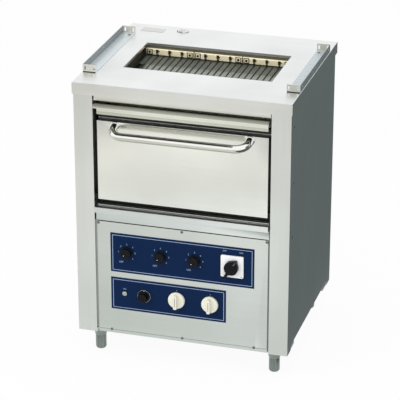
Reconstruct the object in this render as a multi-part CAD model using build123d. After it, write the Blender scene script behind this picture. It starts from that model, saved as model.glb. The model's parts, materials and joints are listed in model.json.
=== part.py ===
from build123d import *
import math
import os

# Electric broiler with an oven below: a stainless floor-standing cabinet.
# All lengths are in millimetres, x to the right, y to the back, z up.
# Pieces are drawn with y = 0 on the front face of the posts and z = 0 on the floor.
# They are saved with y = 0 in the middle of the overall depth, handle to top plate.

# Overall sizes
TOP_WIDTH = 600.0
TOP_DEPTH = 520.0
HEIGHT = 800.0
LEG_HEIGHT = 73.0
SHEET = 1.5

# Cabinet
TOP_SIDE_OVERHANG = 2.7
TOP_FRONT_OVERHANG = 3.2
TOP_BACK_OVERHANG = 12.0
SKIRT_HEIGHT = 32.0
POST_WIDTH = 52.8
POST_RETURN = 34.0
POST_SIDE_WIDTH = 40.0
SIDE_BOTTOM_LIFT = 14.0
BACK_FLANGE = 22.0
FACE_RECESS = 4.0
FIT_GAP = 0.3

# Front of the cabinet, from the top down
RAIL_SHOW = 15.0
RAIL_SIDE_GAP = 2.5
RAIL_FLANGE = 20.0
TRAY_SLOT = 4.6
TRAY_FRONT_HEIGHT = 34.0
DOOR_TOP_GAP = 18.3
DOOR_HEIGHT = 226.5
DOOR_BOTTOM_GAP = 18.2
SILL_NOSE_HEIGHT = 16.0
SILL_HEIGHT = 43.0
SILL_NOSE_REACH = 10.0
SILL_DEPTH = 26.0
SILL_SIDE_GAP = 3.0
PANEL_LIFT = 1.0

# Control panel
PANEL_SIDE_GAP = 5.5
PANEL_FLANGE = 24.0
PANEL_CREASE_LIFT = 9.5
PANEL_CREASE = 0.6
BRACKET_WIDTH = 22.0
UPPER_PLATE = (404.0, 115.5)
UPPER_PLATE_DROP = 31.5
LOWER_PLATE = (326.0, 96.0)
LOWER_PLATE_GAP = 16.5
LOWER_PLATE_FOOT = 74.6
LEGEND_PLATE = 1.0

# Knobs and switches on the control panel
ZONE_KNOB_X = (-155.5, -60.0, 35.5)
ZONE_KNOB_DROP = 54.0
ZONE_KNOB_RADIUS = 16.0
ZONE_KNOB_DEPTH = 15.0
CAM_X = 141.5
CAM_DROP = 56.5
CAM_PLATE = 63.0
CAM_PLATE_DEPTH = 6.0
CAM_PLATE_CORNER = 4.0
CAM_HANDLE_RADIUS = 20.5
CAM_HANDLE_DEPTH = 16.0
CAM_TAIL_REACH = 38.0
CAM_TAIL_WIDTH = 9.0
CAM_TIP_REACH = 27.0
CAM_TURN = 238.0
LAMP_X = -163.0
THERMOSTAT_X = -107.0
THERMOSTAT_RADIUS = 16.0
THERMOSTAT_DEPTH = 18.0
DIAL_SKIRT_RADIUS = 18.5
DIAL_SKIRT_DEPTH = 3.0
HEATER_KNOB_X = (-14.5, 79.5)
HEATER_KNOB_RADIUS = 23.5
HEATER_KNOB_DEPTH = 8.0
HEATER_GRIP_WIDTH = 11.0
HEATER_GRIP_DEPTH = 13.0
HEATER_GRIP_INSET = 3.0
LOWER_ROW_DROP = 46.0
SPINDLE_RADIUS = 3.0
SPINDLE_LENGTH = 14.0
SPINDLE_PLAY = 0.05
SPINDLE_HOLE = 5.0
KNOB_GAP = 0.6
LAMP_RADIUS = 6.5
LAMP_LENS_RADIUS = 4.6
LAMP_DEPTH = 3.0
LAMP_BODY = 28.0

# Switch bodies behind the panel: width, height, depth
ZONE_SWITCH = (34.0, 34.0, 38.0)
CAM_SWITCH = (56.0, 56.0, 78.0)
OVEN_SWITCH = (44.0, 44.0, 42.0)
THERMOSTAT_BODY = (46.0, 40.0, 32.0)
TERMINAL_PITCH = 12.0

# Grill opening and heaters
OPENING_WIDTH = 413.0
OPENING_DEPTH = 214.5
OPENING_FRONT = 148.0
OPENING_COLLAR = 6.0
TUB_MARGIN = 14.0
TUB_DEPTH = 51.0
TUB_LEDGE = 9.0
STRIP_TOP_DROP = 35.0
STRIP_WIDTH = 14.0
STRIP_THICKNESS = 6.0
STRIPS_PER_ZONE = 8
ZONE_COUNT = 3
STRIP_END_GAP = 4.0
STRIP_FIELD_OVERLAP = 2.3
STRIP_STUD_RADIUS = 3.0
STRIP_STUD_LENGTH = 24.0
INSULATOR_SPACE = 1.7
INSULATOR_HEIGHT = 16.5
INSULATOR_DEPTH = 9.0
INSULATOR_LIFT = 3.5
INSULATOR_HOLE = 4.0
INSULATOR_HOLE_INSET = 10.75
INSULATOR_NOTCH = 6.0
INSULATOR_NOTCH_INSET = 33.15

# Drip tray
TRAY_SIDE_GAP = 9.5
TRAY_LIP_REACH = 12.0
TRAY_LIP_HEIGHT = 12.0
TRAY_LIP_OVERHANG = 5.0
TRAY_FACE = 5.0
TRAY_DEPTH = 415.0
TRAY_BOTTOM_LIFT = 3.0
TRAY_WALL_HEIGHT = 24.0
TRAY_PAN_INSET = 5.0
RUNNER_FOOT = 12.0

# Oven
DOOR_RECESS = 7.0
DOOR_SIDE_GAP = 9.0
DOOR_SKIN_DEPTH = 20.0
DOOR_SKIN = 1.2
DOOR_INNER_INSET = 4.0
DOOR_INNER_STEP = 3.0
GASKET_THICKNESS = 1.4
GASKET_WIDTH = 10.0
GASKET_INSET = 8.0
GASKET_TO_MOUTH = 1.5
OVEN_DEPTH = 405.0
INSULATION = 12.0
SHELF_DROP = 3.0
OVEN_FRAME_Y = 33.0
HEATER_ROD = 4.0
HEATER_INSET = 45.0
HEATER_RUNS = 6
HEATER_WALL_GAP = 18.0
RACK_ROD = 2.5
RACK_BARS = 15
RACK_LEVEL = 92.0
RACK_SIDE_GAP = 6.0
GUIDE_DEPTH = 14.0
GUIDE_COUNT = 3
GUIDE_PITCH = 45.0
BULB_RADIUS = 3.0
BULB_LENGTH = 110.0

# Door hinge and handle
HINGE_DEPTH = 12.0
HINGE_LIFT = 6.0
HINGE_PIN_RADIUS = 3.0
HINGE_PIN_LENGTH = 16.0
HINGE_PLAY = 0.05
HINGE_BRACKET_GAP = 1.0
HINGE_BRACKET_SIZE = 15.0
HANDLE_TUBE = 9.5
HANDLE_SIDE_INSET = 50.5
HANDLE_DROP = 12.0
HANDLE_STANDOFF = 46.0
HANDLE_BEND = 33.0
HANDLE_SAG = 12.0
HANDLE_FLANGE_RADIUS = 13.0
HANDLE_FLANGE = 2.0
HANDLE_BOLT = 4.0
HANDLE_BOLT_HEAD = 7.0

# Top fittings
RAIL_EDGE_INSET = 1.0
RAIL_WIDTH = 36.5
RAIL_FRONT = 84.0
RAIL_BACK = 428.0
RAIL_HEIGHT = 21.0
RAIL_SLOT = (5.0, 11.0)
RAIL_SLOT_LIFT = 5.0
RAIL_SLOT_X = (5.5, 29.5)
RAIL_HOLE_RADIUS = 3.0
RAIL_HOLE_LIFT = 13.0
RAIL_HOLE_INSET = 21.5
RAIL_HOLE_COUNT = 3
CAP_PLACE = (-139.0, 485.0)
CAP_RADIUS = 17.5
CAP_HEIGHT = 3.0
CAP_STEM_RADIUS = 10.0
RATING_PLATE = (66.0, 30.0)
RATING_PLACE = (-223.0, 472.0)
RATING_THICKNESS = 0.6

# Base, legs and supply
LEG_X_INSET = 50.0
LEG_Y_INSET = 48.0
COLLAR_TOP_RADIUS = 20.0
COLLAR_BOTTOM_RADIUS = 16.0
COLLAR_HEIGHT = 30.0
FOOT_RADIUS = 15.0
FOOT_ROUND = 7.0
FOOT_STEM_RADIUS = 6.0
FOOT_STEM_LENGTH = 24.0
FOOT_PLAY = 0.08
LEG_BRACKET = (62.0, 66.0)
LEG_PLATE = 3.0
GLAND_BORE = 8.0
GLAND_BODY_RADIUS = 14.0
GLAND_REACH = 10.0
GLAND_PLACE = (190.0, 140.0)
TERMINAL_BLOCK = (90.0, 26.0, 22.0)
TERMINAL_BLOCK_INSET = 90.0
TERMINAL_COUNT = 4
VENT_SLOT = (60.0, 6.0)
VENT_COLUMNS = 4
VENT_ROWS = 3
VENT_PITCH = (85.0, 16.0)
VENT_DROP = 130.0

# Screws
SCREW_HEAD_RADIUS = 4.0
SCREW_HEAD_HEIGHT = 1.6
SCREW_SHANK_RADIUS = 1.8
SCREW_SHANK_LENGTH = 6.0
SCREW_PLAY = 0.2
PANEL_SCREW_EDGE = 3.5
PANEL_SCREW_TOP = 6.5
PANEL_SCREW_BOTTOM = 10.0
PANEL_SCREW_LOW_INSET = 36.5
SIDE_SCREW_Y = 30.0
SIDE_SCREW_DROPS = (72.0, 231.0, 385.0)

# Heights and edges that follow from the sizes above
POST_FACE = 0.0
SKIRT_FRONT = POST_FACE - TOP_FRONT_OVERHANG
SKIRT_BACK = SKIRT_FRONT + TOP_DEPTH
BODY_BACK = SKIRT_BACK - TOP_BACK_OVERHANG
TOP_HALF = TOP_WIDTH / 2
BODY_HALF = TOP_HALF - TOP_SIDE_OVERHANG
BODY_INNER = BODY_HALF - SHEET
POST_INNER = BODY_HALF - POST_WIDTH
DECK_UNDER = HEIGHT - SHEET
SKIRT_BOTTOM = HEIGHT - SKIRT_HEIGHT
RAIL_BOTTOM = SKIRT_BOTTOM - RAIL_SHOW
TRAY_TOP = RAIL_BOTTOM - TRAY_SLOT
TRAY_BOTTOM = TRAY_TOP - TRAY_FRONT_HEIGHT
DOOR_TOP = TRAY_BOTTOM - DOOR_TOP_GAP
DOOR_BOTTOM = DOOR_TOP - DOOR_HEIGHT
SILL_TOP = DOOR_BOTTOM - DOOR_BOTTOM_GAP
SILL_BOTTOM = SILL_TOP - SILL_HEIGHT
PANEL_TOP = SILL_BOTTOM - FIT_GAP
PANEL_BOTTOM = LEG_HEIGHT + PANEL_LIFT
PANEL_HALF = POST_INNER - PANEL_SIDE_GAP
PANEL_FACE = FACE_RECESS
PANEL_REAR = PANEL_FACE + SHEET
SIDE_BOTTOM = LEG_HEIGHT + SIDE_BOTTOM_LIFT
BASE_TOP = SIDE_BOTTOM + SHEET
PLATE_FREE_HEIGHT = PANEL_TOP - PANEL_BOTTOM - UPPER_PLATE[1] - LOWER_PLATE[1]
PLATE_SPREAD = PLATE_FREE_HEIGHT / (UPPER_PLATE_DROP + LOWER_PLATE_GAP + LOWER_PLATE_FOOT)
UPPER_PLATE_TOP = PANEL_TOP - UPPER_PLATE_DROP * PLATE_SPREAD
LOWER_PLATE_TOP = UPPER_PLATE_TOP - UPPER_PLATE[1] - LOWER_PLATE_GAP * PLATE_SPREAD
PLATE_FACE = PANEL_FACE - LEGEND_PLATE
ZONE_KNOB_Z = UPPER_PLATE_TOP - ZONE_KNOB_DROP
CAM_Z = UPPER_PLATE_TOP - CAM_DROP
LOWER_ROW_Z = LOWER_PLATE_TOP - LOWER_ROW_DROP
SHELF_TOP = SILL_TOP - SHELF_DROP
MOUTH_INSET = DOOR_INNER_INSET + GASKET_INSET + GASKET_WIDTH + GASKET_TO_MOUTH
OVEN_FRONT = OVEN_FRAME_Y + SHEET
OVEN_BACK = OVEN_FRONT + OVEN_DEPTH
DOOR_HALF = POST_INNER - DOOR_SIDE_GAP
OVEN_HALF = DOOR_HALF - MOUTH_INSET
OVEN_FLOOR = DOOR_BOTTOM + MOUTH_INSET
OVEN_ROOF = DOOR_TOP - MOUTH_INSET
DOOR_REAR = DOOR_RECESS + DOOR_SKIN_DEPTH
GASKET_FACE = DOOR_REAR + DOOR_INNER_STEP
HINGE_Y = DOOR_RECESS + HINGE_DEPTH
HINGE_Z = DOOR_BOTTOM + HINGE_LIFT
STRIP_FIELD = OPENING_WIDTH + 2 * STRIP_FIELD_OVERLAP
ZONE_WIDTH = STRIP_FIELD / ZONE_COUNT
STRIP_PITCH = ZONE_WIDTH / STRIPS_PER_ZONE
STRIP_TOP = HEIGHT - STRIP_TOP_DROP
STRIP_BOTTOM = STRIP_TOP - STRIP_THICKNESS
TUB_BOTTOM = HEIGHT - TUB_DEPTH
TUB_HALF = OPENING_WIDTH / 2 + TUB_MARGIN
TUB_FRONT = OPENING_FRONT - TUB_MARGIN
TUB_BACK = OPENING_FRONT + OPENING_DEPTH + SHEET
RAIL_OUTER = TOP_HALF - RAIL_EDGE_INSET
RAIL_INNER = RAIL_OUTER - RAIL_WIDTH
HANDLE_HALF_WIDTH = DOOR_HALF - HANDLE_SIDE_INSET
HANDLE_Z = DOOR_TOP - HANDLE_DROP
HANDLE_BAR_Y = DOOR_RECESS - HANDLE_STANDOFF
HANDLE_FRONT = HANDLE_BAR_Y - HANDLE_TUBE
TRAY_HALF = POST_INNER - TRAY_SIDE_GAP
TRAY_PAN_HALF = TRAY_HALF - TRAY_PAN_INSET
TRAY_FLOOR = TRAY_BOTTOM + TRAY_BOTTOM_LIFT
LEG_X = TOP_HALF - LEG_X_INSET
LEG_FRONT_Y = LEG_Y_INSET
LEG_BACK_Y = BODY_BACK - LEG_Y_INSET
ORIGIN_Y = (HANDLE_FRONT + SKIRT_BACK) / 2


def block(x, y, z):
    """A box between two x, two y and two z values."""
    size = Box(x[1] - x[0], y[1] - y[0], z[1] - z[0], align=(Align.MIN, Align.MIN, Align.MIN))
    return Pos(x[0], y[0], z[0]) * size


def rod(radius, start, end):
    """A round bar from one point to another."""
    line = Vector(*end) - Vector(*start)
    plane = Plane(origin=start, z_dir=line)
    return plane * Cylinder(radius, line.length, align=(Align.CENTER, Align.CENTER, Align.MIN))


def mirrored(shape):
    """The same piece on the other side of the cabinet."""
    return mirror(shape, about=Plane.YZ)


def group(pieces):
    """Separate solids kept in one sub-part."""
    return Compound(children=[solid for piece in pieces for solid in piece.solids()])


def save(name, shape):
    """Write one sub-part, with the origin under the middle of the overall box."""
    os.makedirs("parts", exist_ok=True)
    export_step(Pos(0, -ORIGIN_Y, 0) * shape, "parts/" + name + ".step")


def screw(head, into):
    """A pan-head screw: the middle of its seat, and the unit direction it drives in."""
    seat = Vector(*head)
    drive = Vector(*into)
    cap = rod(SCREW_HEAD_RADIUS, seat, seat - drive * SCREW_HEAD_HEIGHT)
    shank = rod(SCREW_SHANK_RADIUS, seat, seat + drive * SCREW_SHANK_LENGTH)
    return cap + shank


def screw_hole(head, into):
    """The clearance hole of a screw."""
    seat = Vector(*head)
    drive = Vector(*into)
    return rod(SCREW_SHANK_RADIUS + SCREW_PLAY, seat - drive, seat + drive * (SCREW_SHANK_LENGTH + 1))


def side_screw_places():
    """Seats of the screws on the right side panel, and the way they drive."""
    return [((BODY_HALF, SIDE_SCREW_Y, HEIGHT - drop), (-1, 0, 0)) for drop in SIDE_SCREW_DROPS]


def side_panel():
    """Right side: a sheet with the front post, its return and a rear flange."""
    wall = block((BODY_INNER, BODY_HALF), (POST_FACE, BODY_BACK), (SIDE_BOTTOM, DECK_UNDER))
    leg_z = (LEG_HEIGHT, SIDE_BOTTOM)
    front_leg = block((BODY_INNER, BODY_HALF), (POST_FACE, POST_SIDE_WIDTH), leg_z)
    rear_leg = block((BODY_INNER, BODY_HALF), (BODY_BACK - POST_SIDE_WIDTH, BODY_BACK), leg_z)
    post_z = (LEG_HEIGHT, DECK_UNDER)
    post = block((POST_INNER, BODY_HALF), (POST_FACE, SHEET), post_z)
    back_edge = block((POST_INNER, POST_INNER + SHEET), (POST_FACE, POST_RETURN), post_z)
    flange_x = (BODY_HALF - BACK_FLANGE, BODY_HALF)
    flange = block(flange_x, (BODY_BACK - SHEET, BODY_BACK), (SIDE_BOTTOM, DECK_UNDER))
    panel = wall + front_leg + rear_leg + post + back_edge + flange
    for head, into in side_screw_places():
        panel -= screw_hole(head, into)
    return panel


def back_panel():
    """Back sheet inside the side flanges, with air slots and the cable hole."""
    y = (BODY_BACK - 2 * SHEET, BODY_BACK - SHEET)
    panel = block((-BODY_INNER, BODY_INNER), y, (BASE_TOP, DECK_UNDER))
    for row in range(VENT_ROWS):
        z = SILL_TOP - VENT_DROP - row * VENT_PITCH[1]
        for column in range(VENT_COLUMNS):
            x = (column - (VENT_COLUMNS - 1) / 2) * VENT_PITCH[0]
            slot = SlotOverall(VENT_SLOT[0], VENT_SLOT[1])
            cutter = extrude(Plane.XZ * slot, amount=4 * SHEET, both=True)
            panel -= Pos(x, BODY_BACK, z) * cutter
    place = (GLAND_PLACE[0], y[0] - SHEET, GLAND_PLACE[1])
    panel -= rod(GLAND_BORE + 2, place, (place[0], BODY_BACK + SHEET, place[2]))
    return panel


def top_plate():
    """Top sheet with a skirt all round and a collared opening over the heaters."""
    deck = block((-TOP_HALF, TOP_HALF), (SKIRT_FRONT, SKIRT_BACK), (SKIRT_BOTTOM, HEIGHT))
    inner_x = (SHEET - TOP_HALF, TOP_HALF - SHEET)
    deck -= block(inner_x, (SKIRT_FRONT + SHEET, SKIRT_BACK - SHEET), (SKIRT_BOTTOM - 1, DECK_UNDER))
    deck = fillet(deck.edges().group_by(Axis.Z)[-1], SHEET * 0.8)
    half = OPENING_WIDTH / 2
    far = OPENING_FRONT + OPENING_DEPTH
    collar = block((-half - SHEET, half + SHEET), (OPENING_FRONT - SHEET, far + SHEET),
                   (DECK_UNDER - OPENING_COLLAR, DECK_UNDER))
    opening = block((-half, half), (OPENING_FRONT, far), (SKIRT_BOTTOM, HEIGHT + 1))
    cap_hole = rod(CAP_STEM_RADIUS, (*CAP_PLACE, SKIRT_BOTTOM), (*CAP_PLACE, HEIGHT + 1))
    deck = deck + collar - opening - cap_hole
    for head, into in rail_screw_places():
        hole = screw_hole(head, into)
        deck = deck - hole - mirrored(hole)
    return deck


def top_front_rail():
    """Strip under the skirt, folded back at its bottom edge, between the posts."""
    half = POST_INNER - RAIL_SIDE_GAP
    y = (PANEL_FACE, PANEL_FACE + SHEET)
    face = block((-half, half), y, (RAIL_BOTTOM, DECK_UNDER))
    fold_y = (PANEL_FACE, PANEL_FACE + RAIL_FLANGE)
    fold = block((-half, half), fold_y, (RAIL_BOTTOM, RAIL_BOTTOM + SHEET))
    rest = block((-POST_INNER, POST_INNER), (y[1], fold_y[1]), (RAIL_BOTTOM, RAIL_BOTTOM + SHEET))
    return face + fold + rest


def base_pan():
    """Bottom sheet on the side panels' lower edges, with upturned ends."""
    y = (POST_RETURN + FIT_GAP, BODY_BACK - 2 * SHEET)
    sheet = block((-BODY_INNER, BODY_INNER), y, (SIDE_BOTTOM, BASE_TOP))
    for x in (-LEG_X, LEG_X):
        for leg_y in (LEG_FRONT_Y, LEG_BACK_Y):
            hole = FOOT_STEM_RADIUS + 2
            sheet -= rod(hole, (x, leg_y, LEG_HEIGHT), (x, leg_y, BASE_TOP + 1))
    return sheet


def leg_brackets():
    """Four corner plates under the posts, each with an upright against the side panel."""
    pieces = []
    for y in (LEG_FRONT_Y, LEG_BACK_Y):
        front = max(y - LEG_BRACKET[1] / 2, POST_RETURN + FIT_GAP)
        back = min(y + LEG_BRACKET[1] / 2, BODY_BACK - 2 * SHEET)
        plate_x = (BODY_INNER - LEG_BRACKET[0], BODY_INNER)
        plate = block(plate_x, (front, back), (LEG_HEIGHT, LEG_HEIGHT + LEG_PLATE))
        upright_x = (BODY_INNER - LEG_PLATE, BODY_INNER)
        plate += block(upright_x, (front, back), (LEG_HEIGHT, SIDE_BOTTOM))
        bore = FOOT_STEM_RADIUS + FOOT_PLAY
        plate -= rod(bore, (LEG_X, y, LEG_HEIGHT - 1), (LEG_X, y, SIDE_BOTTOM))
        pieces += [plate, mirrored(plate)]
    return group(pieces)


def leg_places():
    """Name and centre of each leg."""
    return {
        "front_left": (-LEG_X, LEG_FRONT_Y),
        "front_right": (LEG_X, LEG_FRONT_Y),
        "rear_left": (-LEG_X, LEG_BACK_Y),
        "rear_right": (LEG_X, LEG_BACK_Y),
    }


def leg_collars():
    """Four tapered collars under the corner plates."""
    pieces = []
    for x, y in leg_places().values():
        bottom = LEG_HEIGHT - COLLAR_HEIGHT
        align = (Align.CENTER, Align.CENTER, Align.MIN)
        cone = Cone(COLLAR_BOTTOM_RADIUS, COLLAR_TOP_RADIUS, COLLAR_HEIGHT, align=align)
        bore = Cylinder(FOOT_STEM_RADIUS + FOOT_PLAY, COLLAR_HEIGHT, align=align)
        pieces.append(Pos(x, y, bottom) * (cone - bore))
    return group(pieces)


def foot(place):
    """One levelling foot: a round-bottomed cylinder on a threaded stem."""
    top = LEG_HEIGHT - COLLAR_HEIGHT
    body = rod(FOOT_RADIUS, (*place, 0), (*place, top))
    body = fillet(body.edges().group_by(Axis.Z)[0], FOOT_ROUND)
    stem = rod(FOOT_STEM_RADIUS, (*place, top), (*place, top + COLLAR_HEIGHT + FOOT_STEM_LENGTH))
    return body + stem


def partition_shelf():
    """Sheet between the oven and the switch compartment, from side to side."""
    y = (PANEL_FACE + SILL_DEPTH, BODY_BACK - 2 * SHEET)
    wide = block((-BODY_INNER, BODY_INNER), (POST_RETURN, y[1]), (SHELF_TOP - SHEET, SHELF_TOP))
    nose = block((-POST_INNER, POST_INNER), y, (SHELF_TOP - SHEET, SHELF_TOP))
    return wide + nose


def oven_sill():
    """Crossmember under the door: a boxed nose over a set-back lower strip."""
    half = POST_INNER - SILL_SIDE_GAP
    nose_y = POST_FACE - SILL_NOSE_REACH
    nose_bottom = SILL_TOP - SILL_NOSE_HEIGHT
    back = PANEL_FACE + SILL_DEPTH
    top = block((-half, half), (nose_y, back), (SILL_TOP - SHEET, SILL_TOP))
    nose = block((-half, half), (nose_y, nose_y + SHEET), (nose_bottom, SILL_TOP))
    under = block((-half, half), (nose_y, PANEL_REAR), (nose_bottom, nose_bottom + SHEET))
    drop = block((-half, half), (PANEL_FACE, PANEL_REAR), (SILL_BOTTOM, nose_bottom + SHEET))
    lip = block((-half, half), (PANEL_FACE, PANEL_FLANGE), (SILL_BOTTOM, SILL_BOTTOM + SHEET))
    tabs = block((-POST_INNER, POST_INNER), (PANEL_REAR, PANEL_FLANGE), (SILL_BOTTOM, SILL_BOTTOM + SHEET))
    heel = block((-half, half), (back - SHEET, back), (SHELF_TOP, SILL_TOP))
    return top + nose + under + drop + lip + tabs + heel


def panel_screw_places():
    """Seats of the six control panel screws, and the way they drive."""
    top_x = PANEL_HALF - PANEL_SCREW_EDGE
    top = [(x, PANEL_FACE, PANEL_TOP - PANEL_SCREW_TOP) for x in (-top_x, 0.0, top_x)]
    low_x = PANEL_HALF - PANEL_SCREW_LOW_INSET
    low = [(x, PANEL_FACE, PANEL_BOTTOM + PANEL_SCREW_BOTTOM) for x in (-low_x, 0.0, low_x)]
    return [(place, (0, 1, 0)) for place in top + low]


def switch_places():
    """Centre, spindle hole and name of every turning switch on the panel."""
    places = [(x, ZONE_KNOB_Z) for x in ZONE_KNOB_X]
    places += [(CAM_X, CAM_Z), (THERMOSTAT_X, LOWER_ROW_Z)]
    places += [(x, LOWER_ROW_Z) for x in HEATER_KNOB_X]
    return places


def spindle_holes():
    """Round holes through the panel and its plates, one for each spindle and the lamp."""
    y = (PLATE_FACE - CAM_PLATE_DEPTH - 1, PANEL_REAR + 1)
    holes = [rod(SPINDLE_HOLE, (x, y[0], z), (x, y[1], z)) for x, z in switch_places()]
    lamp = (LAMP_X, y[0], LOWER_ROW_Z)
    holes.append(rod(LAMP_LENS_RADIUS, lamp, (LAMP_X, y[1], LOWER_ROW_Z)))
    return holes


def control_panel():
    """Front sheet with flanges at top and bottom, a crease, and the switch holes."""
    x = (-PANEL_HALF, PANEL_HALF)
    sheet = block(x, (PANEL_FACE, PANEL_REAR), (PANEL_BOTTOM, PANEL_TOP))
    flange_y = (PANEL_FACE, PANEL_REAR + PANEL_FLANGE)
    bottom = block(x, flange_y, (PANEL_BOTTOM, PANEL_BOTTOM + SHEET))
    crease_z = PANEL_BOTTOM + PANEL_CREASE_LIFT
    crease = block(x, (PANEL_FACE - 1, PANEL_FACE + PANEL_CREASE), (crease_z, crease_z + PANEL_CREASE))
    panel = sheet + bottom - crease
    for hole in spindle_holes():
        panel -= hole
    for head, into in panel_screw_places():
        panel -= screw_hole(head, into)
    return panel


def panel_brackets():
    """Angles between the posts' returns and the control panel, left and right."""
    z = (SIDE_BOTTOM, PANEL_TOP)
    wing_x = (POST_INNER - BRACKET_WIDTH, POST_INNER)
    wing = block(wing_x, (PANEL_REAR, PANEL_REAR + SHEET), z)
    leg = block((POST_INNER - SHEET, POST_INNER), (PANEL_REAR, POST_RETURN), z)
    head_x = PANEL_HALF - PANEL_SCREW_EDGE
    bracket = wing + leg
    place = (head_x, PANEL_FACE, PANEL_TOP - PANEL_SCREW_TOP)
    bracket -= screw_hole(place, (0, 1, 0))
    return group([bracket, mirrored(bracket)])


def legend_plate(size, top):
    """Thin plate on the control panel, cut for the spindles that pass through it."""
    left = -UPPER_PLATE[0] / 2
    plate = block((left, left + size[0]), (PLATE_FACE, PANEL_FACE), (top - size[1], top))
    for hole in spindle_holes():
        plate -= hole
    return plate


def knob_base(x, z, face, radius, depth, play=KNOB_GAP):
    """A round knob standing just off the face behind it, with its spindle."""
    back = face - play
    body = rod(radius, (x, back - depth, z), (x, back, z))
    spindle = rod(SPINDLE_RADIUS, (x, back - 1, z), (x, PANEL_REAR + SPINDLE_LENGTH, z))
    return body, spindle


def zone_knob(x):
    """Small black knob with a ribbed edge and a flat raised bar across its face."""
    body, spindle = knob_base(x, ZONE_KNOB_Z, PLATE_FACE, ZONE_KNOB_RADIUS, ZONE_KNOB_DEPTH)
    front = PLATE_FACE - KNOB_GAP - ZONE_KNOB_DEPTH
    body = chamfer(body.edges().group_by(Axis.Y)[0], 2.0)
    groove_radius = 1.2
    for step in range(12):
        angle = math.radians(step * 30)
        edge_x = x + ZONE_KNOB_RADIUS * math.cos(angle)
        edge_z = ZONE_KNOB_Z + ZONE_KNOB_RADIUS * math.sin(angle)
        body -= rod(groove_radius, (edge_x, front - 1, edge_z), (edge_x, front + ZONE_KNOB_DEPTH - 4, edge_z))
    return body + spindle


def main_switch_handle():
    """Disc with a long tail to the lower left and a short tip to the upper right."""
    face = PLATE_FACE - CAM_PLATE_DEPTH
    body, spindle = knob_base(CAM_X, CAM_Z, face, CAM_HANDLE_RADIUS, CAM_HANDLE_DEPTH)
    back = face - KNOB_GAP
    front = back - CAM_HANDLE_DEPTH
    body = chamfer(body.edges().group_by(Axis.Y)[0], 2.0)
    half = CAM_TAIL_WIDTH / 2
    tail = Polyline((0, -half), (CAM_TAIL_REACH, -half * 0.6), (CAM_TAIL_REACH, half * 0.6), (0, half), close=True)
    touch = math.acos(CAM_HANDLE_RADIUS / CAM_TIP_REACH)
    touch_x = -CAM_HANDLE_RADIUS * math.cos(touch)
    touch_z = CAM_HANDLE_RADIUS * math.sin(touch)
    tip = Polyline((0, 0), (touch_x, -touch_z), (-CAM_TIP_REACH, 0), (touch_x, touch_z), close=True)
    pointer = Rot(0, 0, CAM_TURN) * (make_face(tail) + make_face(tip))
    plane = Plane(origin=(CAM_X, back - 2, CAM_Z), x_dir=(1, 0, 0), z_dir=(0, -1, 0))
    arm = extrude(plane * pointer, amount=back - 2 - front - 2)
    return body + arm + spindle


def thermostat_knob():
    """Black knob on a thin dial skirt."""
    body, spindle = knob_base(THERMOSTAT_X, LOWER_ROW_Z, PLATE_FACE, DIAL_SKIRT_RADIUS, DIAL_SKIRT_DEPTH)
    front = PLATE_FACE - KNOB_GAP - DIAL_SKIRT_DEPTH
    grip = rod(THERMOSTAT_RADIUS - 3, (THERMOSTAT_X, front - THERMOSTAT_DEPTH, LOWER_ROW_Z),
               (THERMOSTAT_X, front, LOWER_ROW_Z))
    grip = chamfer(grip.edges().group_by(Axis.Y)[0], 1.5)
    return body + grip + spindle


def heater_knob(x):
    """Pale round knob with an upright bar grip across its face."""
    body, spindle = knob_base(x, LOWER_ROW_Z, PLATE_FACE, HEATER_KNOB_RADIUS, HEATER_KNOB_DEPTH)
    body = fillet(body.edges().group_by(Axis.Y)[0], 3.0)
    front = PLATE_FACE - KNOB_GAP - HEATER_KNOB_DEPTH
    half = HEATER_GRIP_WIDTH / 2
    reach = HEATER_KNOB_RADIUS - HEATER_GRIP_INSET
    bar = block((x - half, x + half), (front - HEATER_GRIP_DEPTH, front + 2),
                (LOWER_ROW_Z - reach, LOWER_ROW_Z + reach))
    bar = fillet(bar.edges().filter_by(Axis.Y), half * 0.6)
    return body + bar + spindle


def cam_switch_plate():
    """White square plate under the main switch handle."""
    half = CAM_PLATE / 2
    back = PLATE_FACE
    plate = block((CAM_X - half, CAM_X + half), (back - CAM_PLATE_DEPTH, back),
                  (CAM_Z - half, CAM_Z + half))
    plate = fillet(plate.edges().filter_by(Axis.Y), CAM_PLATE_CORNER)
    front = plate.faces().sort_by(Axis.Y)[0]
    plate = chamfer(front.edges(), 1.5)
    hole = rod(SPINDLE_HOLE, (CAM_X, back - CAM_PLATE_DEPTH - 1, CAM_Z), (CAM_X, back + 1, CAM_Z))
    return plate - hole


def switch_body(x, z, size):
    """A switch or thermostat case on the back of the panel, with its terminal row."""
    half = size[0] / 2
    y = (PANEL_REAR, PANEL_REAR + size[2])
    case = block((x - half, x + half), y, (z - size[1] / 2, z + size[1] / 2))
    count = int(size[0] // TERMINAL_PITCH)
    for index in range(count):
        pin_x = x + (index - (count - 1) / 2) * TERMINAL_PITCH
        case += block((pin_x - 3, pin_x + 3), (y[1], y[1] + 8), (z - 0.4, z + 0.4))
    bore = SPINDLE_RADIUS + SPINDLE_PLAY
    return case - rod(bore, (x, y[0] - 1, z), (x, PANEL_REAR + SPINDLE_LENGTH + 1, z))


def pilot_lamp():
    """Round lens of the pilot lamp and its body behind the panel."""
    front = PLATE_FACE - LAMP_DEPTH - 1
    lens = rod(LAMP_LENS_RADIUS, (LAMP_X, front, LOWER_ROW_Z), (LAMP_X, PANEL_REAR, LOWER_ROW_Z))
    lens = fillet(lens.edges().group_by(Axis.Y)[0], 1.5)
    body = rod(LAMP_RADIUS, (LAMP_X, PANEL_REAR, LOWER_ROW_Z), (LAMP_X, PANEL_REAR + LAMP_BODY, LOWER_ROW_Z))
    return lens + body


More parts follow.
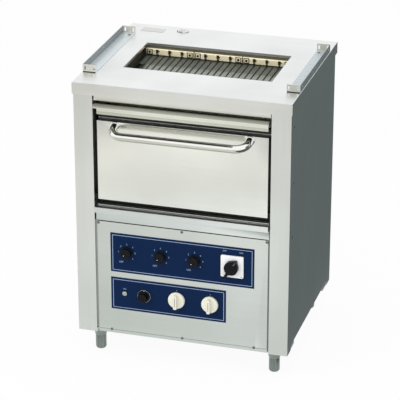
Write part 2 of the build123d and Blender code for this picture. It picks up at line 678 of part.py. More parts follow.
def pilot_lamp_bezel():
    """Metal ring round the pilot lamp's lens."""
    face = (LAMP_X, PLATE_FACE - LAMP_DEPTH, LOWER_ROW_Z)
    ring = rod(LAMP_RADIUS, face, (LAMP_X, PLATE_FACE, LOWER_ROW_Z))
    ring = chamfer(ring.edges().group_by(Axis.Y)[0], 0.8)
    through = rod(LAMP_LENS_RADIUS, (LAMP_X, face[1] - 1, LOWER_ROW_Z), (LAMP_X, PLATE_FACE + 1, LOWER_ROW_Z))
    return ring - through


def grill_tub():
    """Four walls under the opening, with ledges that carry the heater strips."""
    x = (-TUB_HALF, TUB_HALF)
    outer = block((x[0] - SHEET, x[1] + SHEET), (TUB_FRONT - SHEET, TUB_BACK + SHEET), (TUB_BOTTOM, DECK_UNDER))
    tub = outer - block(x, (TUB_FRONT, TUB_BACK), (TUB_BOTTOM - 1, DECK_UNDER + 1))
    for y in ((TUB_FRONT, TUB_FRONT + TUB_LEDGE), (TUB_BACK - TUB_LEDGE, TUB_BACK)):
        tub += block(x, y, (STRIP_BOTTOM - SHEET, STRIP_BOTTOM))
    for zone in range(ZONE_COUNT):
        for stud_x in zone_studs(zone):
            hole = STRIP_STUD_RADIUS + FIT_GAP
            z = (STRIP_TOP + STRIP_BOTTOM) / 2
            tub -= rod(hole, (stud_x, TUB_BACK - 1, z), (stud_x, TUB_BACK + 2 * SHEET, z))
    return tub


def zone_centre(zone):
    """Middle of a heater zone, left to right."""
    return (zone - (ZONE_COUNT - 1) / 2) * ZONE_WIDTH


def strip_places(zone):
    """Centres of the strips of one zone."""
    middle = (STRIPS_PER_ZONE - 1) / 2
    return [zone_centre(zone) + (index - middle) * STRIP_PITCH for index in range(STRIPS_PER_ZONE)]


def zone_studs(zone):
    """Centres of the two terminal studs of one zone."""
    places = strip_places(zone)
    return (places[0], places[-1])


def heater_zone(zone):
    """Flat strips from front to back, joined end to end, with two terminal studs."""
    z = (STRIP_BOTTOM, STRIP_TOP)
    y = (TUB_FRONT + STRIP_END_GAP, TUB_BACK - STRIP_END_GAP)
    half = STRIP_WIDTH / 2
    places = strip_places(zone)
    element = None
    for index, x in enumerate(places):
        strip = block((x - half, x + half), y, z)
        element = strip if element is None else element + strip
        if index + 1 < len(places):
            at_back = index % 2 == 0
            link_y = (y[1] - STRIP_THICKNESS, y[1]) if at_back else (y[0], y[0] + STRIP_THICKNESS)
            element += block((x, places[index + 1]), link_y, z)
    middle = (z[0] + z[1]) / 2
    for x in zone_studs(zone):
        element += rod(STRIP_STUD_RADIUS, (x, y[1] - 1, middle), (x, y[1] + STRIP_STUD_LENGTH, middle))
    return element


def rear_insulators():
    """Ceramic bars against the tub's rear wall, above the strips, one for each zone."""
    pieces = []
    bottom = STRIP_TOP + INSULATOR_LIFT
    top = bottom + INSULATOR_HEIGHT
    y = (TUB_BACK - INSULATOR_DEPTH, TUB_BACK)
    for zone in range(ZONE_COUNT):
        x = zone_centre(zone)
        half = (ZONE_WIDTH - INSULATOR_SPACE) / 2
        bar = block((x - half, x + half), y, (bottom, top))
        bar = chamfer(bar.edges().filter_by(Axis.X), 1.0)
        side = INSULATOR_HOLE / 2
        middle = (bottom + top) / 2
        reach = half - INSULATOR_HOLE_INSET
        for place in (x - reach, x + reach):
            bar -= block((place - side, place + side), (y[0] - 1, y[0] + 5), (middle - side, middle + side))
        side = INSULATOR_NOTCH / 2
        reach = half - INSULATOR_NOTCH_INSET
        for place in (x - reach, x, x + reach):
            bar -= block((place - side, place + side), (y[0] - 1, y[0] + 5), (bottom - 1, middle))
        pieces.append(bar)
    return group(pieces)


def drip_tray():
    """Shallow pan behind a front plate that folds out into a finger lip."""
    lip_half = TRAY_HALF + TRAY_LIP_OVERHANG
    lip_y = POST_FACE - TRAY_LIP_REACH
    face_y = (TRAY_FACE, TRAY_FACE + SHEET)
    front = block((-TRAY_HALF, TRAY_HALF), face_y, (TRAY_BOTTOM, TRAY_TOP))
    top = block((-lip_half, lip_half), (lip_y, face_y[1]), (TRAY_TOP - SHEET, TRAY_TOP))
    lip = block((-lip_half, lip_half), (lip_y, lip_y + SHEET), (TRAY_TOP - TRAY_LIP_HEIGHT, TRAY_TOP))
    y = (face_y[1], face_y[1] + TRAY_DEPTH)
    z = (TRAY_FLOOR, TRAY_FLOOR + TRAY_WALL_HEIGHT)
    pan = block((-TRAY_PAN_HALF, TRAY_PAN_HALF), y, z)
    inner_x = (SHEET - TRAY_PAN_HALF, TRAY_PAN_HALF - SHEET)
    pan -= block(inner_x, (y[0] + SHEET, y[1] - SHEET), (z[0] + SHEET, z[1] + 1))
    return front + top + lip + pan


def tray_runners():
    """Folded runners under the tray's edges, each reaching its side panel."""
    floor = TRAY_FLOOR - FIT_GAP
    wall_x = TRAY_PAN_HALF + 1.0
    y = (POST_RETURN, TRAY_FACE + TRAY_DEPTH)
    foot_x = (wall_x - RUNNER_FOOT, wall_x + SHEET)
    foot_plate = block(foot_x, y, (floor - SHEET, floor))
    wall = block((wall_x, wall_x + SHEET), y, (floor - SHEET, TRAY_TOP))
    shelf = block((wall_x, BODY_INNER), y, (TRAY_TOP - SHEET, TRAY_TOP))
    runner = foot_plate + wall + shelf
    return group([runner, mirrored(runner)])


def oven_liner():
    """Box of the oven, open at the front."""
    x = (-OVEN_HALF, OVEN_HALF)
    outer_x = (x[0] - SHEET, x[1] + SHEET)
    outer_z = (OVEN_FLOOR - SHEET, OVEN_ROOF + SHEET)
    shell = block(outer_x, (OVEN_FRONT, OVEN_BACK + SHEET), outer_z)
    liner = shell - block(x, (OVEN_FRONT - 1, OVEN_BACK), (OVEN_FLOOR, OVEN_ROOF))
    for rod_x, z in oven_heater_ends():
        hole = HEATER_ROD + FIT_GAP
        liner -= rod(hole, (rod_x, OVEN_BACK - 1, z), (rod_x, OVEN_BACK + 2 * SHEET, z))
    return liner


def oven_insulation():
    """Blanket round the oven box, from the shelf up, open at the front."""
    side = OVEN_HALF + SHEET + INSULATION
    back = OVEN_BACK + SHEET + INSULATION
    roof = OVEN_ROOF + SHEET + INSULATION
    blanket = block((-side, side), (OVEN_FRONT, back), (SHELF_TOP, roof))
    inner_x = (-OVEN_HALF - SHEET, OVEN_HALF + SHEET)
    inner_z = (OVEN_FLOOR - SHEET, OVEN_ROOF + SHEET)
    blanket -= block(inner_x, (OVEN_FRONT - 1, OVEN_BACK + SHEET), inner_z)
    for rod_x, z in oven_heater_ends():
        hole = HEATER_ROD + FIT_GAP
        blanket -= rod(hole, (rod_x, OVEN_BACK, z), (rod_x, back + 1, z))
    return blanket


def oven_front_frame():
    """Flat frame behind the door, folded back over the oven's blanket."""
    roof = OVEN_ROOF + SHEET + INSULATION
    frame = block((-POST_INNER, POST_INNER), (OVEN_FRAME_Y, OVEN_FRONT), (SHELF_TOP, roof + SHEET))
    side = OVEN_HALF + SHEET + INSULATION
    frame += block((-side, side), (OVEN_FRAME_Y, OVEN_BACK), (roof, roof + SHEET))
    opening = block((-OVEN_HALF, OVEN_HALF), (OVEN_FRAME_Y - 1, OVEN_FRONT + 1), (OVEN_FLOOR, OVEN_ROOF))
    return frame - opening


def oven_heater_ends():
    """Where the heater rods leave through the back of the oven."""
    reach = OVEN_HALF - HEATER_INSET
    low = OVEN_FLOOR + HEATER_WALL_GAP
    high = OVEN_ROOF - HEATER_WALL_GAP
    return [(x, z) for z in (low, high) for x in (-reach, reach)]


def oven_heater(z):
    """Sheathed rod bent to and fro across the oven, both ends through the back."""
    reach = OVEN_HALF - HEATER_INSET
    pitch = 2 * reach / (HEATER_RUNS - 1)
    front = OVEN_FRONT + HEATER_INSET
    back = OVEN_BACK - HEATER_INSET
    points = [(-reach, OVEN_BACK + SHEET + INSULATION + 20, z)]
    for index in range(HEATER_RUNS):
        x = -reach + index * pitch
        ends = (front, back) if index % 2 else (back, front)
        if index > 0:
            points.append((x, ends[0], z))
        if index < HEATER_RUNS - 1:
            points.append((x, ends[1], z))
    points.append((reach, OVEN_BACK + SHEET + INSULATION + 20, z))
    path = FilletPolyline(*points, radius=pitch * 0.42)
    start = Plane(origin=points[0], z_dir=(0, -1, 0))
    return sweep(start * Circle(HEATER_ROD), path=path)


def rack_guides():
    """Angle runners on both oven walls, at each rack level."""
    pieces = []
    y = (OVEN_FRONT + 10, OVEN_BACK - 10)
    for index in range(GUIDE_COUNT):
        z = OVEN_FLOOR + RACK_LEVEL + (index - 1) * GUIDE_PITCH
        guide = block((OVEN_HALF - GUIDE_DEPTH, OVEN_HALF), y, (z - SHEET, z))
        guide += block((OVEN_HALF - SHEET, OVEN_HALF), y, (z - 10, z))
        pieces += [guide, mirrored(guide)]
    return group(pieces)


def oven_rack():
    """Wire rack on the middle guides: a round-bar frame with bars front to back."""
    half = OVEN_HALF - RACK_SIDE_GAP
    y = (OVEN_FRONT + 14, OVEN_BACK - 14)
    z = OVEN_FLOOR + RACK_LEVEL + RACK_ROD
    rack = None
    for side in y:
        bar = rod(RACK_ROD, (-half, side, z), (half, side, z))
        rack = bar if rack is None else rack + bar
    for index in range(RACK_BARS):
        x = -half + RACK_ROD + index * (2 * half - 2 * RACK_ROD) / (RACK_BARS - 1)
        rack += rod(RACK_ROD, (x, y[0] - RACK_ROD, z), (x, y[1] + RACK_ROD, z))
    return rack


def thermostat_bulb():
    """Sensing bulb in two clips on the oven's right wall."""
    x = OVEN_HALF - 8
    z = OVEN_ROOF - HEATER_WALL_GAP * 2
    y = OVEN_BACK - BULB_LENGTH - 30
    bulb = rod(BULB_RADIUS, (x, y, z), (x, y + BULB_LENGTH, z))
    for place in (y + 20, y + BULB_LENGTH - 20):
        bulb += block((x, OVEN_HALF), (place, place + 8), (z - 1, z + 1))
    return bulb


def door_outer_skin():
    """Front of the door: a sheet with its four edges folded back."""
    x = (-DOOR_HALF, DOOR_HALF)
    skin = block(x, (DOOR_RECESS, DOOR_REAR), (DOOR_BOTTOM, DOOR_TOP))
    inner_x = (DOOR_SKIN - DOOR_HALF, DOOR_HALF - DOOR_SKIN)
    skin -= block(inner_x, (DOOR_RECESS + DOOR_SKIN, DOOR_REAR + 1),
                  (DOOR_BOTTOM + DOOR_SKIN, DOOR_TOP - DOOR_SKIN))
    skin = fillet(skin.edges().group_by(Axis.Y)[0], DOOR_SKIN * 0.8)
    for x in (-HANDLE_HALF_WIDTH, HANDLE_HALF_WIDTH):
        skin -= rod(HANDLE_BOLT, (x, DOOR_RECESS - 1, HANDLE_Z), (x, DOOR_REAR, HANDLE_Z))
    pin_x = DOOR_HALF + 1
    skin -= rod(HINGE_PIN_RADIUS, (-pin_x, HINGE_Y, HINGE_Z), (pin_x, HINGE_Y, HINGE_Z))
    return skin


def door_inner_panel():
    """Back of the door, a pressed sheet that closes the skin."""
    edge = DOOR_HALF - DOOR_INNER_INSET
    z = (DOOR_BOTTOM + DOOR_INNER_INSET, DOOR_TOP - DOOR_INNER_INSET)
    seat_x = (DOOR_SKIN - DOOR_HALF, DOOR_HALF - DOOR_SKIN)
    seat_z = (DOOR_BOTTOM + DOOR_SKIN, DOOR_TOP - DOOR_SKIN)
    seat = block(seat_x, (DOOR_REAR - DOOR_SKIN, DOOR_REAR), seat_z)
    raised = block((-edge, edge), (DOOR_REAR - DOOR_SKIN, GASKET_FACE), z)
    hollow = block((SHEET - edge, edge - SHEET), (DOOR_REAR - DOOR_SKIN - 1, GASKET_FACE - DOOR_SKIN),
                   (z[0] + SHEET, z[1] - SHEET))
    return seat + raised - hollow


def door_insulation():
    """Slab of insulation inside the door."""
    x = DOOR_HALF - DOOR_SKIN - HINGE_PIN_LENGTH
    y = (DOOR_RECESS + DOOR_SKIN, DOOR_REAR - DOOR_SKIN)
    z = (HINGE_Z + HINGE_PIN_RADIUS + 2, DOOR_TOP - DOOR_SKIN)
    slab = block((-x, x), y, z)
    for place in (-HANDLE_HALF_WIDTH, HANDLE_HALF_WIDTH):
        slab -= rod(HANDLE_BOLT_HEAD, (place, y[0] - 1, HANDLE_Z), (place, y[1] + 1, HANDLE_Z))
    return slab


def door_gasket():
    """Flat seal on the back of the door, round the oven's mouth."""
    edge = DOOR_HALF - DOOR_INNER_INSET - GASKET_INSET
    z = (DOOR_BOTTOM + DOOR_INNER_INSET + GASKET_INSET, DOOR_TOP - DOOR_INNER_INSET - GASKET_INSET)
    y = (GASKET_FACE, GASKET_FACE + GASKET_THICKNESS)
    ring = block((-edge, edge), y, z)
    inner = edge - GASKET_WIDTH
    hole_z = (z[0] + GASKET_WIDTH, z[1] - GASKET_WIDTH)
    return ring - block((-inner, inner), (y[0] - 1, y[1] + 1), hole_z)


def door_handle():
    """Round bar bent forward and across, with a flange at each foot."""
    foot_y = DOOR_RECESS - HANDLE_FLANGE
    bar_z = HANDLE_Z - HANDLE_SAG
    half = HANDLE_HALF_WIDTH
    points = [(-half, foot_y, HANDLE_Z), (-half, HANDLE_BAR_Y, bar_z), (half, HANDLE_BAR_Y, bar_z),
              (half, foot_y, HANDLE_Z)]
    path = FilletPolyline(*points, radius=HANDLE_BEND)
    first = Vector(*points[1]) - Vector(*points[0])
    start = Plane(origin=points[0], z_dir=first)
    bar = sweep(start * Circle(HANDLE_TUBE), path=path)
    handle = bar
    for x in (-half, half):
        handle += rod(HANDLE_FLANGE_RADIUS, (x, DOOR_RECESS - HANDLE_FLANGE * 2, HANDLE_Z), (x, DOOR_RECESS, HANDLE_Z))
    behind = block((-TOP_HALF, TOP_HALF), (DOOR_RECESS, DOOR_REAR), (DOOR_BOTTOM, DOOR_TOP))
    return handle - behind


def handle_bolts():
    """Bolts from inside the door into the handle's feet."""
    pieces = []
    for x in (-HANDLE_HALF_WIDTH, HANDLE_HALF_WIDTH):
        back = DOOR_RECESS + DOOR_SKIN
        bolt = rod(HANDLE_BOLT, (x, DOOR_RECESS, HANDLE_Z), (x, back + 1, HANDLE_Z))
        bolt += rod(HANDLE_BOLT_HEAD, (x, back, HANDLE_Z), (x, back + 5, HANDLE_Z))
        pieces.append(bolt)
    return group(pieces)


def hinge_pins():
    """Pins at the door's lower corners, turning in the brackets on the posts."""
    outer = POST_INNER - HINGE_PLAY
    pin = rod(HINGE_PIN_RADIUS, (outer - HINGE_PIN_LENGTH, HINGE_Y, HINGE_Z), (outer, HINGE_Y, HINGE_Z))
    return group([pin, mirrored(pin)])


def hinge_brackets():
    """Blocks on the posts' returns that carry the door's pins."""
    half = HINGE_BRACKET_SIZE / 2
    x = (DOOR_HALF + HINGE_BRACKET_GAP, POST_INNER)
    bracket = block(x, (HINGE_Y - half, HINGE_Y + half), (HINGE_Z - half, HINGE_Z + half))
    bore = HINGE_PIN_RADIUS + HINGE_PLAY
    bracket -= rod(bore, (x[0] - 1, HINGE_Y, HINGE_Z), (x[1] + 1, HINGE_Y, HINGE_Z))
    return group([bracket, mirrored(bracket)])


def rail_hole_places():
    """Places along y of the holes in a side rail's wall."""
    first = RAIL_FRONT + RAIL_HOLE_INSET
    span = RAIL_BACK - RAIL_FRONT - 2 * RAIL_HOLE_INSET
    return [first + span * index / (RAIL_HOLE_COUNT - 1) for index in range(RAIL_HOLE_COUNT)]


def side_rail():
    """Right rail on the top: a floor, an outer wall and a slotted tab at each end."""
    floor = block((RAIL_INNER, RAIL_OUTER), (RAIL_FRONT, RAIL_BACK), (HEIGHT, HEIGHT + SHEET))
    wall_z = (HEIGHT, HEIGHT + RAIL_HEIGHT)
    rail = floor + block((RAIL_OUTER - SHEET, RAIL_OUTER), (RAIL_FRONT, RAIL_BACK), wall_z)
    for y in ((RAIL_FRONT, RAIL_FRONT + SHEET), (RAIL_BACK - SHEET, RAIL_BACK)):
        tab = block((RAIL_INNER, RAIL_OUTER), y, wall_z)
        for slot_x in RAIL_SLOT_X:
            x = RAIL_INNER + slot_x
            z = HEIGHT + RAIL_SLOT_LIFT
            tab -= block((x - RAIL_SLOT[0] / 2, x + RAIL_SLOT[0] / 2), (y[0] - 1, y[1] + 1), (z, z + RAIL_SLOT[1]))
        rail += tab
    for y in rail_hole_places():
        z = HEIGHT + RAIL_HOLE_LIFT
        rail -= rod(RAIL_HOLE_RADIUS, (RAIL_OUTER - 2 * SHEET, y, z), (RAIL_OUTER + 1, y, z))
    for head, into in rail_screw_places():
        rail -= screw_hole(head, into)
    return rail


def rail_screw_places():
    """Seats of the screws that hold the right rail to the top."""
    x = (RAIL_INNER + RAIL_OUTER) / 2 - 8
    places = rail_hole_places()
    return [((x, y, HEIGHT + SHEET), (0, 0, -1)) for y in (places[0], places[-1])]


def body_screws():
    """Screws of the side panels and the side rails."""
    pieces = []
    for head, into in side_screw_places() + rail_screw_places():
        piece = screw(head, into)
        pieces += [piece, mirrored(piece)]
    return group(pieces)


def top_cap():
    """Round cap in the top's rear left, with a low centre boss."""
    rim = rod(CAP_RADIUS, (*CAP_PLACE, HEIGHT), (*CAP_PLACE, HEIGHT + CAP_HEIGHT))
    rim = chamfer(rim.edges().group_by(Axis.Z)[-1], 1.5)
    boss = rod(6.0, (*CAP_PLACE, HEIGHT), (*CAP_PLACE, HEIGHT + CAP_HEIGHT + 1))
    stem = rod(CAP_STEM_RADIUS, (*CAP_PLACE, DECK_UNDER - 8), (*CAP_PLACE, HEIGHT + 1))
    return rim + boss + stem


def rating_plate():
    """Blank thin plate on the top's rear left corner."""
    half = (RATING_PLATE[0] / 2, RATING_PLATE[1] / 2)
    x = (RATING_PLACE[0] - half[0], RATING_PLACE[0] + half[0])
    y = (RATING_PLACE[1] - half[1], RATING_PLACE[1] + half[1])
    return block(x, y, (HEIGHT, HEIGHT + RATING_THICKNESS))


def cable_gland():
    """Gland through the back panel, with a nut on each side."""
    x, z = GLAND_PLACE
    inside = BODY_BACK - 2 * SHEET
    outside = BODY_BACK - SHEET
    nut = rod(GLAND_BODY_RADIUS, (x, inside - 8, z), (x, inside, z))
    neck = rod(GLAND_BORE + 2, (x, inside - 1, z), (x, outside + 1, z))
    cap = rod(GLAND_BODY_RADIUS, (x, outside, z), (x, outside + GLAND_REACH, z))
    cap = chamfer(cap.edges().group_by(Axis.Y)[-1], 2.0)
    bore = rod(GLAND_BORE, (x, inside - 9, z), (x, outside + GLAND_REACH + 1, z))
    return nut + neck + cap - bore


def terminal_block():
    """Supply terminals on the base, near the gland."""
    length, depth, height = TERMINAL_BLOCK
    x = (GLAND_PLACE[0] - length, GLAND_PLACE[0])
    y = (BODY_BACK - TERMINAL_BLOCK_INSET, BODY_BACK - TERMINAL_BLOCK_INSET + depth)
    body = block(x, y, (BASE_TOP, BASE_TOP + height))
    pitch = length / TERMINAL_COUNT
    for index in range(1, TERMINAL_COUNT):
        wall = x[0] + index * pitch
        body += block((wall - 1, wall + 1), y, (BASE_TOP, BASE_TOP + height + 4))
    return body


def build():
    """Make and save every sub-part."""
    right = side_panel()
    save("side_panel_right", right)
    save("side_panel_left", mirrored(right))
    save("back_panel", back_panel())
    save("top_plate", top_plate())
    save("top_front_rail", top_front_rail())
    save("base_pan", base_pan())
    save("leg_brackets", leg_brackets())
    save("leg_collars", leg_collars())
    for name, place in leg_places().items():
        save("foot_" + name, foot(place))
    save("partition_shelf", partition_shelf())
    save("oven_sill", oven_sill())
    save("control_panel", control_panel())
    save("panel_brackets", panel_brackets())
    save("panel_screws", group([screw(head, into) for head, into in panel_screw_places()]))
    save("upper_legend_plate", legend_plate(UPPER_PLATE, UPPER_PLATE_TOP))
    save("lower_legend_plate", legend_plate(LOWER_PLATE, LOWER_PLATE_TOP))
    save("cam_switch_plate", cam_switch_plate())
    save("cam_switch_body", switch_body(CAM_X, CAM_Z, CAM_SWITCH))
    rotary = [switch_body(x, ZONE_KNOB_Z, ZONE_SWITCH) for x in ZONE_KNOB_X]
    rotary += [switch_body(x, LOWER_ROW_Z, OVEN_SWITCH) for x in HEATER_KNOB_X]
    save("rotary_switch_bodies", group(rotary))
    save("thermostat_body", switch_body(THERMOSTAT_X, LOWER_ROW_Z, THERMOSTAT_BODY))
    save("thermostat_bulb", thermostat_bulb())
    for name, x in zip(("left", "centre", "right"), ZONE_KNOB_X):
        save("zone_knob_" + name, zone_knob(x))
    save("main_switch_handle", main_switch_handle())
    save("thermostat_knob", thermostat_knob())
    for name, x in zip(("upper", "lower"), HEATER_KNOB_X):
        save(name + "_heater_knob", heater_knob(x))
    save("pilot_lamp", pilot_lamp())
    save("pilot_lamp_bezel", pilot_lamp_bezel())
    save("grill_tub", grill_tub())
    save("heater_strips", group([heater_zone(zone) for zone in range(ZONE_COUNT)]))
    save("rear_insulators", rear_insulators())
    save("drip_tray", drip_tray())
    save("tray_runners", tray_runners())
    save("oven_liner", oven_liner())
    save("oven_insulation", oven_insulation())
    save("oven_front_frame", oven_front_frame())
    save("oven_bottom_heater", oven_heater(OVEN_FLOOR + HEATER_WALL_GAP))
    save("oven_top_heater", oven_heater(OVEN_ROOF - HEATER_WALL_GAP))
    save("rack_guides", rack_guides())
    save("oven_rack", oven_rack())
    save("door_outer_skin", door_outer_skin())
    save("door_inner_panel", door_inner_panel())
    save("door_insulation", door_insulation())
    save("door_gasket", door_gasket())
    save("door_handle", door_handle())
    save("handle_bolts", handle_bolts())
    save("hinge_pins", hinge_pins())
    save("hinge_brackets", hinge_brackets())
    rail = side_rail()
    save("side_rail_right", rail)
    save("side_rail_left", mirrored(rail))
    save("body_screws", body_screws())
    save("top_cap", top_cap())
    save("rating_plate", rating_plate())
    save("cable_gland", cable_gland())
    save("terminal_block", terminal_block())


build()
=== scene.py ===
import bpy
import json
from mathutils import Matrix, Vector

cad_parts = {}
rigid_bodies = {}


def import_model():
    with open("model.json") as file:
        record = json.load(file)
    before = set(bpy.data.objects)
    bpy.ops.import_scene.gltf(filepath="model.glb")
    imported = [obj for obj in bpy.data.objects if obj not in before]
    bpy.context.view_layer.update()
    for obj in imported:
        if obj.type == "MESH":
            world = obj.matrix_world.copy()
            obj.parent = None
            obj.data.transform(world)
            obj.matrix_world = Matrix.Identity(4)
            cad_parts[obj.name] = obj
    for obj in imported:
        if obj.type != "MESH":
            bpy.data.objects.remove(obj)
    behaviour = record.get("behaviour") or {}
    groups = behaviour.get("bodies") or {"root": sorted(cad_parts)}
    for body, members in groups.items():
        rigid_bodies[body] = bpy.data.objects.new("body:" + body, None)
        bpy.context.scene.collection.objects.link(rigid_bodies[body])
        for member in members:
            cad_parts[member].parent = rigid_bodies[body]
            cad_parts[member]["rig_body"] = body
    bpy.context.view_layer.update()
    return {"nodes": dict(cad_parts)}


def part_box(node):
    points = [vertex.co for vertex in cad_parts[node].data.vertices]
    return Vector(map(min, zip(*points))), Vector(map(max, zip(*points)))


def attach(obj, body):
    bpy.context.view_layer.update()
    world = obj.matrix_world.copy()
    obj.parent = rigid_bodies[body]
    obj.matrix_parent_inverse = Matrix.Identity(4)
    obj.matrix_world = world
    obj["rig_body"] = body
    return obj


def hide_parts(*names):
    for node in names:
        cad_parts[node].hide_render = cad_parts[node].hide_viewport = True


bl_info = {
    "name": "Electric broiler",
    "version": (1, 0, 0),
    "blender": (4, 5, 0),
    "location": "3D View > Sidebar > Broiler",
    "description": "Dresses the broiler's frame with its sheet metal, switches, heaters and studio",
    "category": "Object",
}

import json
import math

import bmesh
import bpy
from bpy.props import FloatProperty, FloatVectorProperty, IntProperty, PointerProperty
from mathutils import Matrix, Vector

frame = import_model()

# The broiler's sizes are in millimetres, with y measured back from the front of the posts.
MM = 0.001
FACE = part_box("side_panel_left")[0].y  # the front of the posts, in metres
KNOB_BACK = 2.4  # back of the knobs
SPINDLE_END = 19.5  # where the knobs' spindles end, inside their switches
INK_FRONT, INK_BACK = 2.9, 3.02  # the ink on the legend plates
TO_FRONT, TO_BACK, UP = (0, -1, 0), (0, 1, 0), (0, 0, 1)


def at(x, y, z):
    """A place in metres from millimetres, with y measured back from the front of the posts."""
    return Vector((x * MM, FACE + y * MM, z * MM))


def box_of(node):
    """A node's lowest and highest corners in millimetres, with y back from the front of the posts."""
    return [Vector((corner.x, corner.y - FACE, corner.z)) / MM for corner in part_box(node)]


def centre_of(node):
    """Middle of a node's box across and up, in millimetres."""
    low, high = box_of(node)
    return (low.x + high.x) / 2, (low.z + high.z) / 2


def linear(colour):
    """An sRGB hex colour as linear red, green and blue."""
    parts = [int(colour[i:i + 2], 16) / 255 for i in (1, 3, 5)]
    return tuple(c / 12.92 if c <= 0.04045 else ((c + 0.055) / 1.055) ** 2.4 for c in parts)


def rgba(value, factor=1.0):
    """A colour with full opacity, from hex or from linear values, made darker or lighter by a factor."""
    channels = linear(value) if isinstance(value, str) else value[:3]
    return (*(min(1.0, channel * factor) for channel in channels), 1.0)


# Sizes and colours that a user would change


def colour(name, note, value):
    """A colour setting, given as sRGB hex."""
    return FloatVectorProperty(name=name, description=note, subtype="COLOR", size=3, min=0.0, max=1.0,
                               default=linear(value))


def length(name, note, millimetres):
    """A length setting, given in millimetres."""
    return FloatProperty(name=name, description=note, subtype="DISTANCE", unit="LENGTH", min=0.0,
                         default=millimetres * MM)


class BroilerColours(bpy.types.PropertyGroup):
    """Colours of the broiler's finishes"""

    cabinet: colour("Cabinet steel", "Brushed stainless of the posts and sides", "#E9EAE7")
    deck: colour("Deck steel", "Brushed stainless of the top and its skirt", "#EFF1F1")
    door: colour("Door steel", "Brushed stainless of the oven door", "#FAFAF5")
    panel: colour("Panel steel", "Brushed stainless of the control panel", "#E6E8E5")
    zinc: colour("Zinc plate", "Bluish zinc of the rails on the top", "#C8D3DA")
    legend: colour("Legend plate", "Navy of the two plates behind the switches", "#0F2548")
    ink: colour("Ink", "Pale lines and numbers on the legend plates", "#9FB2D2")
    black: colour("Black knobs", "Phenolic of the zone knobs and the main switch", "#0B0D0F")
    cream: colour("Cream knobs", "Urea of the two oven knobs", "#F0EDDC")
    white: colour("Switch plate", "White plate under the main switch", "#FAFBFB")
    ceramic: colour("Ceramic", "Cream steatite behind the heater strips", "#FBF0CC")
    strip: colour("Heater strips", "Oxidised alloy of the strips", "#8C9389")
    foot: colour("Feet", "Zinc of the levelling feet", "#7C857F")
    collar: colour("Collars", "Zinc of the collars over the feet", "#858F89")


class BroilerSizes(bpy.types.PropertyGroup):
    """Sizes of the broiler's small details"""

    bend: length("Sheet bend", "Rounding along the folds of the sheet metal", 0.5)
    border_inset: length("Border inset", "From a legend plate's edge to its printed line", 5.5)
    border_width: length("Border width", "Width of the printed line", 1.5)
    digit: length("Digit height", "Height of the numbers round the knobs", 5.2)
    mark_radius: length("Number circle", "Radius of the numbers round a zone knob", 23.6)
    flutes: IntProperty(name="Flutes", description="Grip flutes round a zone knob", default=24, min=8, max=48)
    rack_wires: IntProperty(name="Rack wires", description="Wires of the oven rack", default=15,
                            min=5, max=40)
    strips: IntProperty(name="Strips", description="Heater strips across the opening", default=24,
                        min=6, max=60)


class BroilerStage(bpy.types.PropertyGroup):
    """The studio round the broiler"""

    lens: FloatProperty(name="Lens", description="Focal length on a 36 mm wide sensor",
                        subtype="DISTANCE_CAMERA", default=183.6, min=20.0, max=400.0)
    ambient: FloatProperty(name="Ambient", description="Strength of the light from all round", default=0.82,
                           min=0.0, max=2.0)
    key_power: FloatProperty(name="Key light", description="Power of the lamp to the front left",
                             unit="POWER", default=70.0, min=0.0, max=2000.0)
    top_power: FloatProperty(name="Top light", description="Power of the lamp over the top",
                             unit="POWER", default=42.0, min=0.0, max=2000.0)


# Node trees

FACTOR, FIRST, SECOND = 0, 6, 7  # the inputs of a Mix node that mixes two colours


def feed(tree, item, feeds):
    """Give a node's inputs a value, a socket, or a whole node, whose first output in use is taken."""
    for key, value in feeds.items():
        if isinstance(value, bpy.types.Node):
            value = next(output for output in value.outputs if output.enabled)
        if isinstance(value, bpy.types.NodeSocket):
            tree.links.new(value, item.inputs[key])
        else:
            item.inputs[key].default_value = value


def add(tree, kind, feeds=None, **settings):
    """Add a node with its settings and its links."""
    item = tree.nodes.new(kind)
    for key, value in settings.items():
        setattr(item, key, value)
    feed(tree, item, feeds or {})
    return item


# Materials


def bare(name):
    """A new material with an empty tree."""
    made = bpy.data.materials.new(name)
    made.use_nodes = True
    made.node_tree.nodes.clear()
    return made, made.node_tree


def blank(name):
    """A new material with only its shader, and the coordinates that its patterns read."""
    made, tree = bare(name)
    shader = add(tree, "ShaderNodeBsdfPrincipled")
    add(tree, "ShaderNodeOutputMaterial", {"Surface": shader})
    return made, tree, shader, add(tree, "ShaderNodeTexCoord").outputs["Object"]


def grain(tree, place, sizes, detail=3.0):
    """Noise whose features have the given sizes along x, y and z, in millimetres."""
    scale = tuple(1 / (size * MM) for size in sizes)
    spot = add(tree, "ShaderNodeMapping", {"Vector": place, "Scale": scale})
    return add(tree, "ShaderNodeTexNoise", {"Vector": spot, "Scale": 1.0, "Detail": detail})


def worn_edges(tree, radius, tone, bright):
    """Lighter metal along bends and cut edges, where cloths and hands polish it."""
    bent = add(tree, "ShaderNodeBevel", {"Radius": radius * MM}, samples=4)
    flat = add(tree, "ShaderNodeNewGeometry").outputs["Normal"]
    turn = add(tree, "ShaderNodeVectorMath", {0: bent, 1: flat}, operation="DOT_PRODUCT")
    edge = add(tree, "ShaderNodeMapRange", {"Value": turn, "From Min": 0.995, "From Max": 0.9})
    return add(tree, "ShaderNodeMix", {FACTOR: edge, FIRST: tone, SECOND: rgba(bright)}, data_type="RGBA")


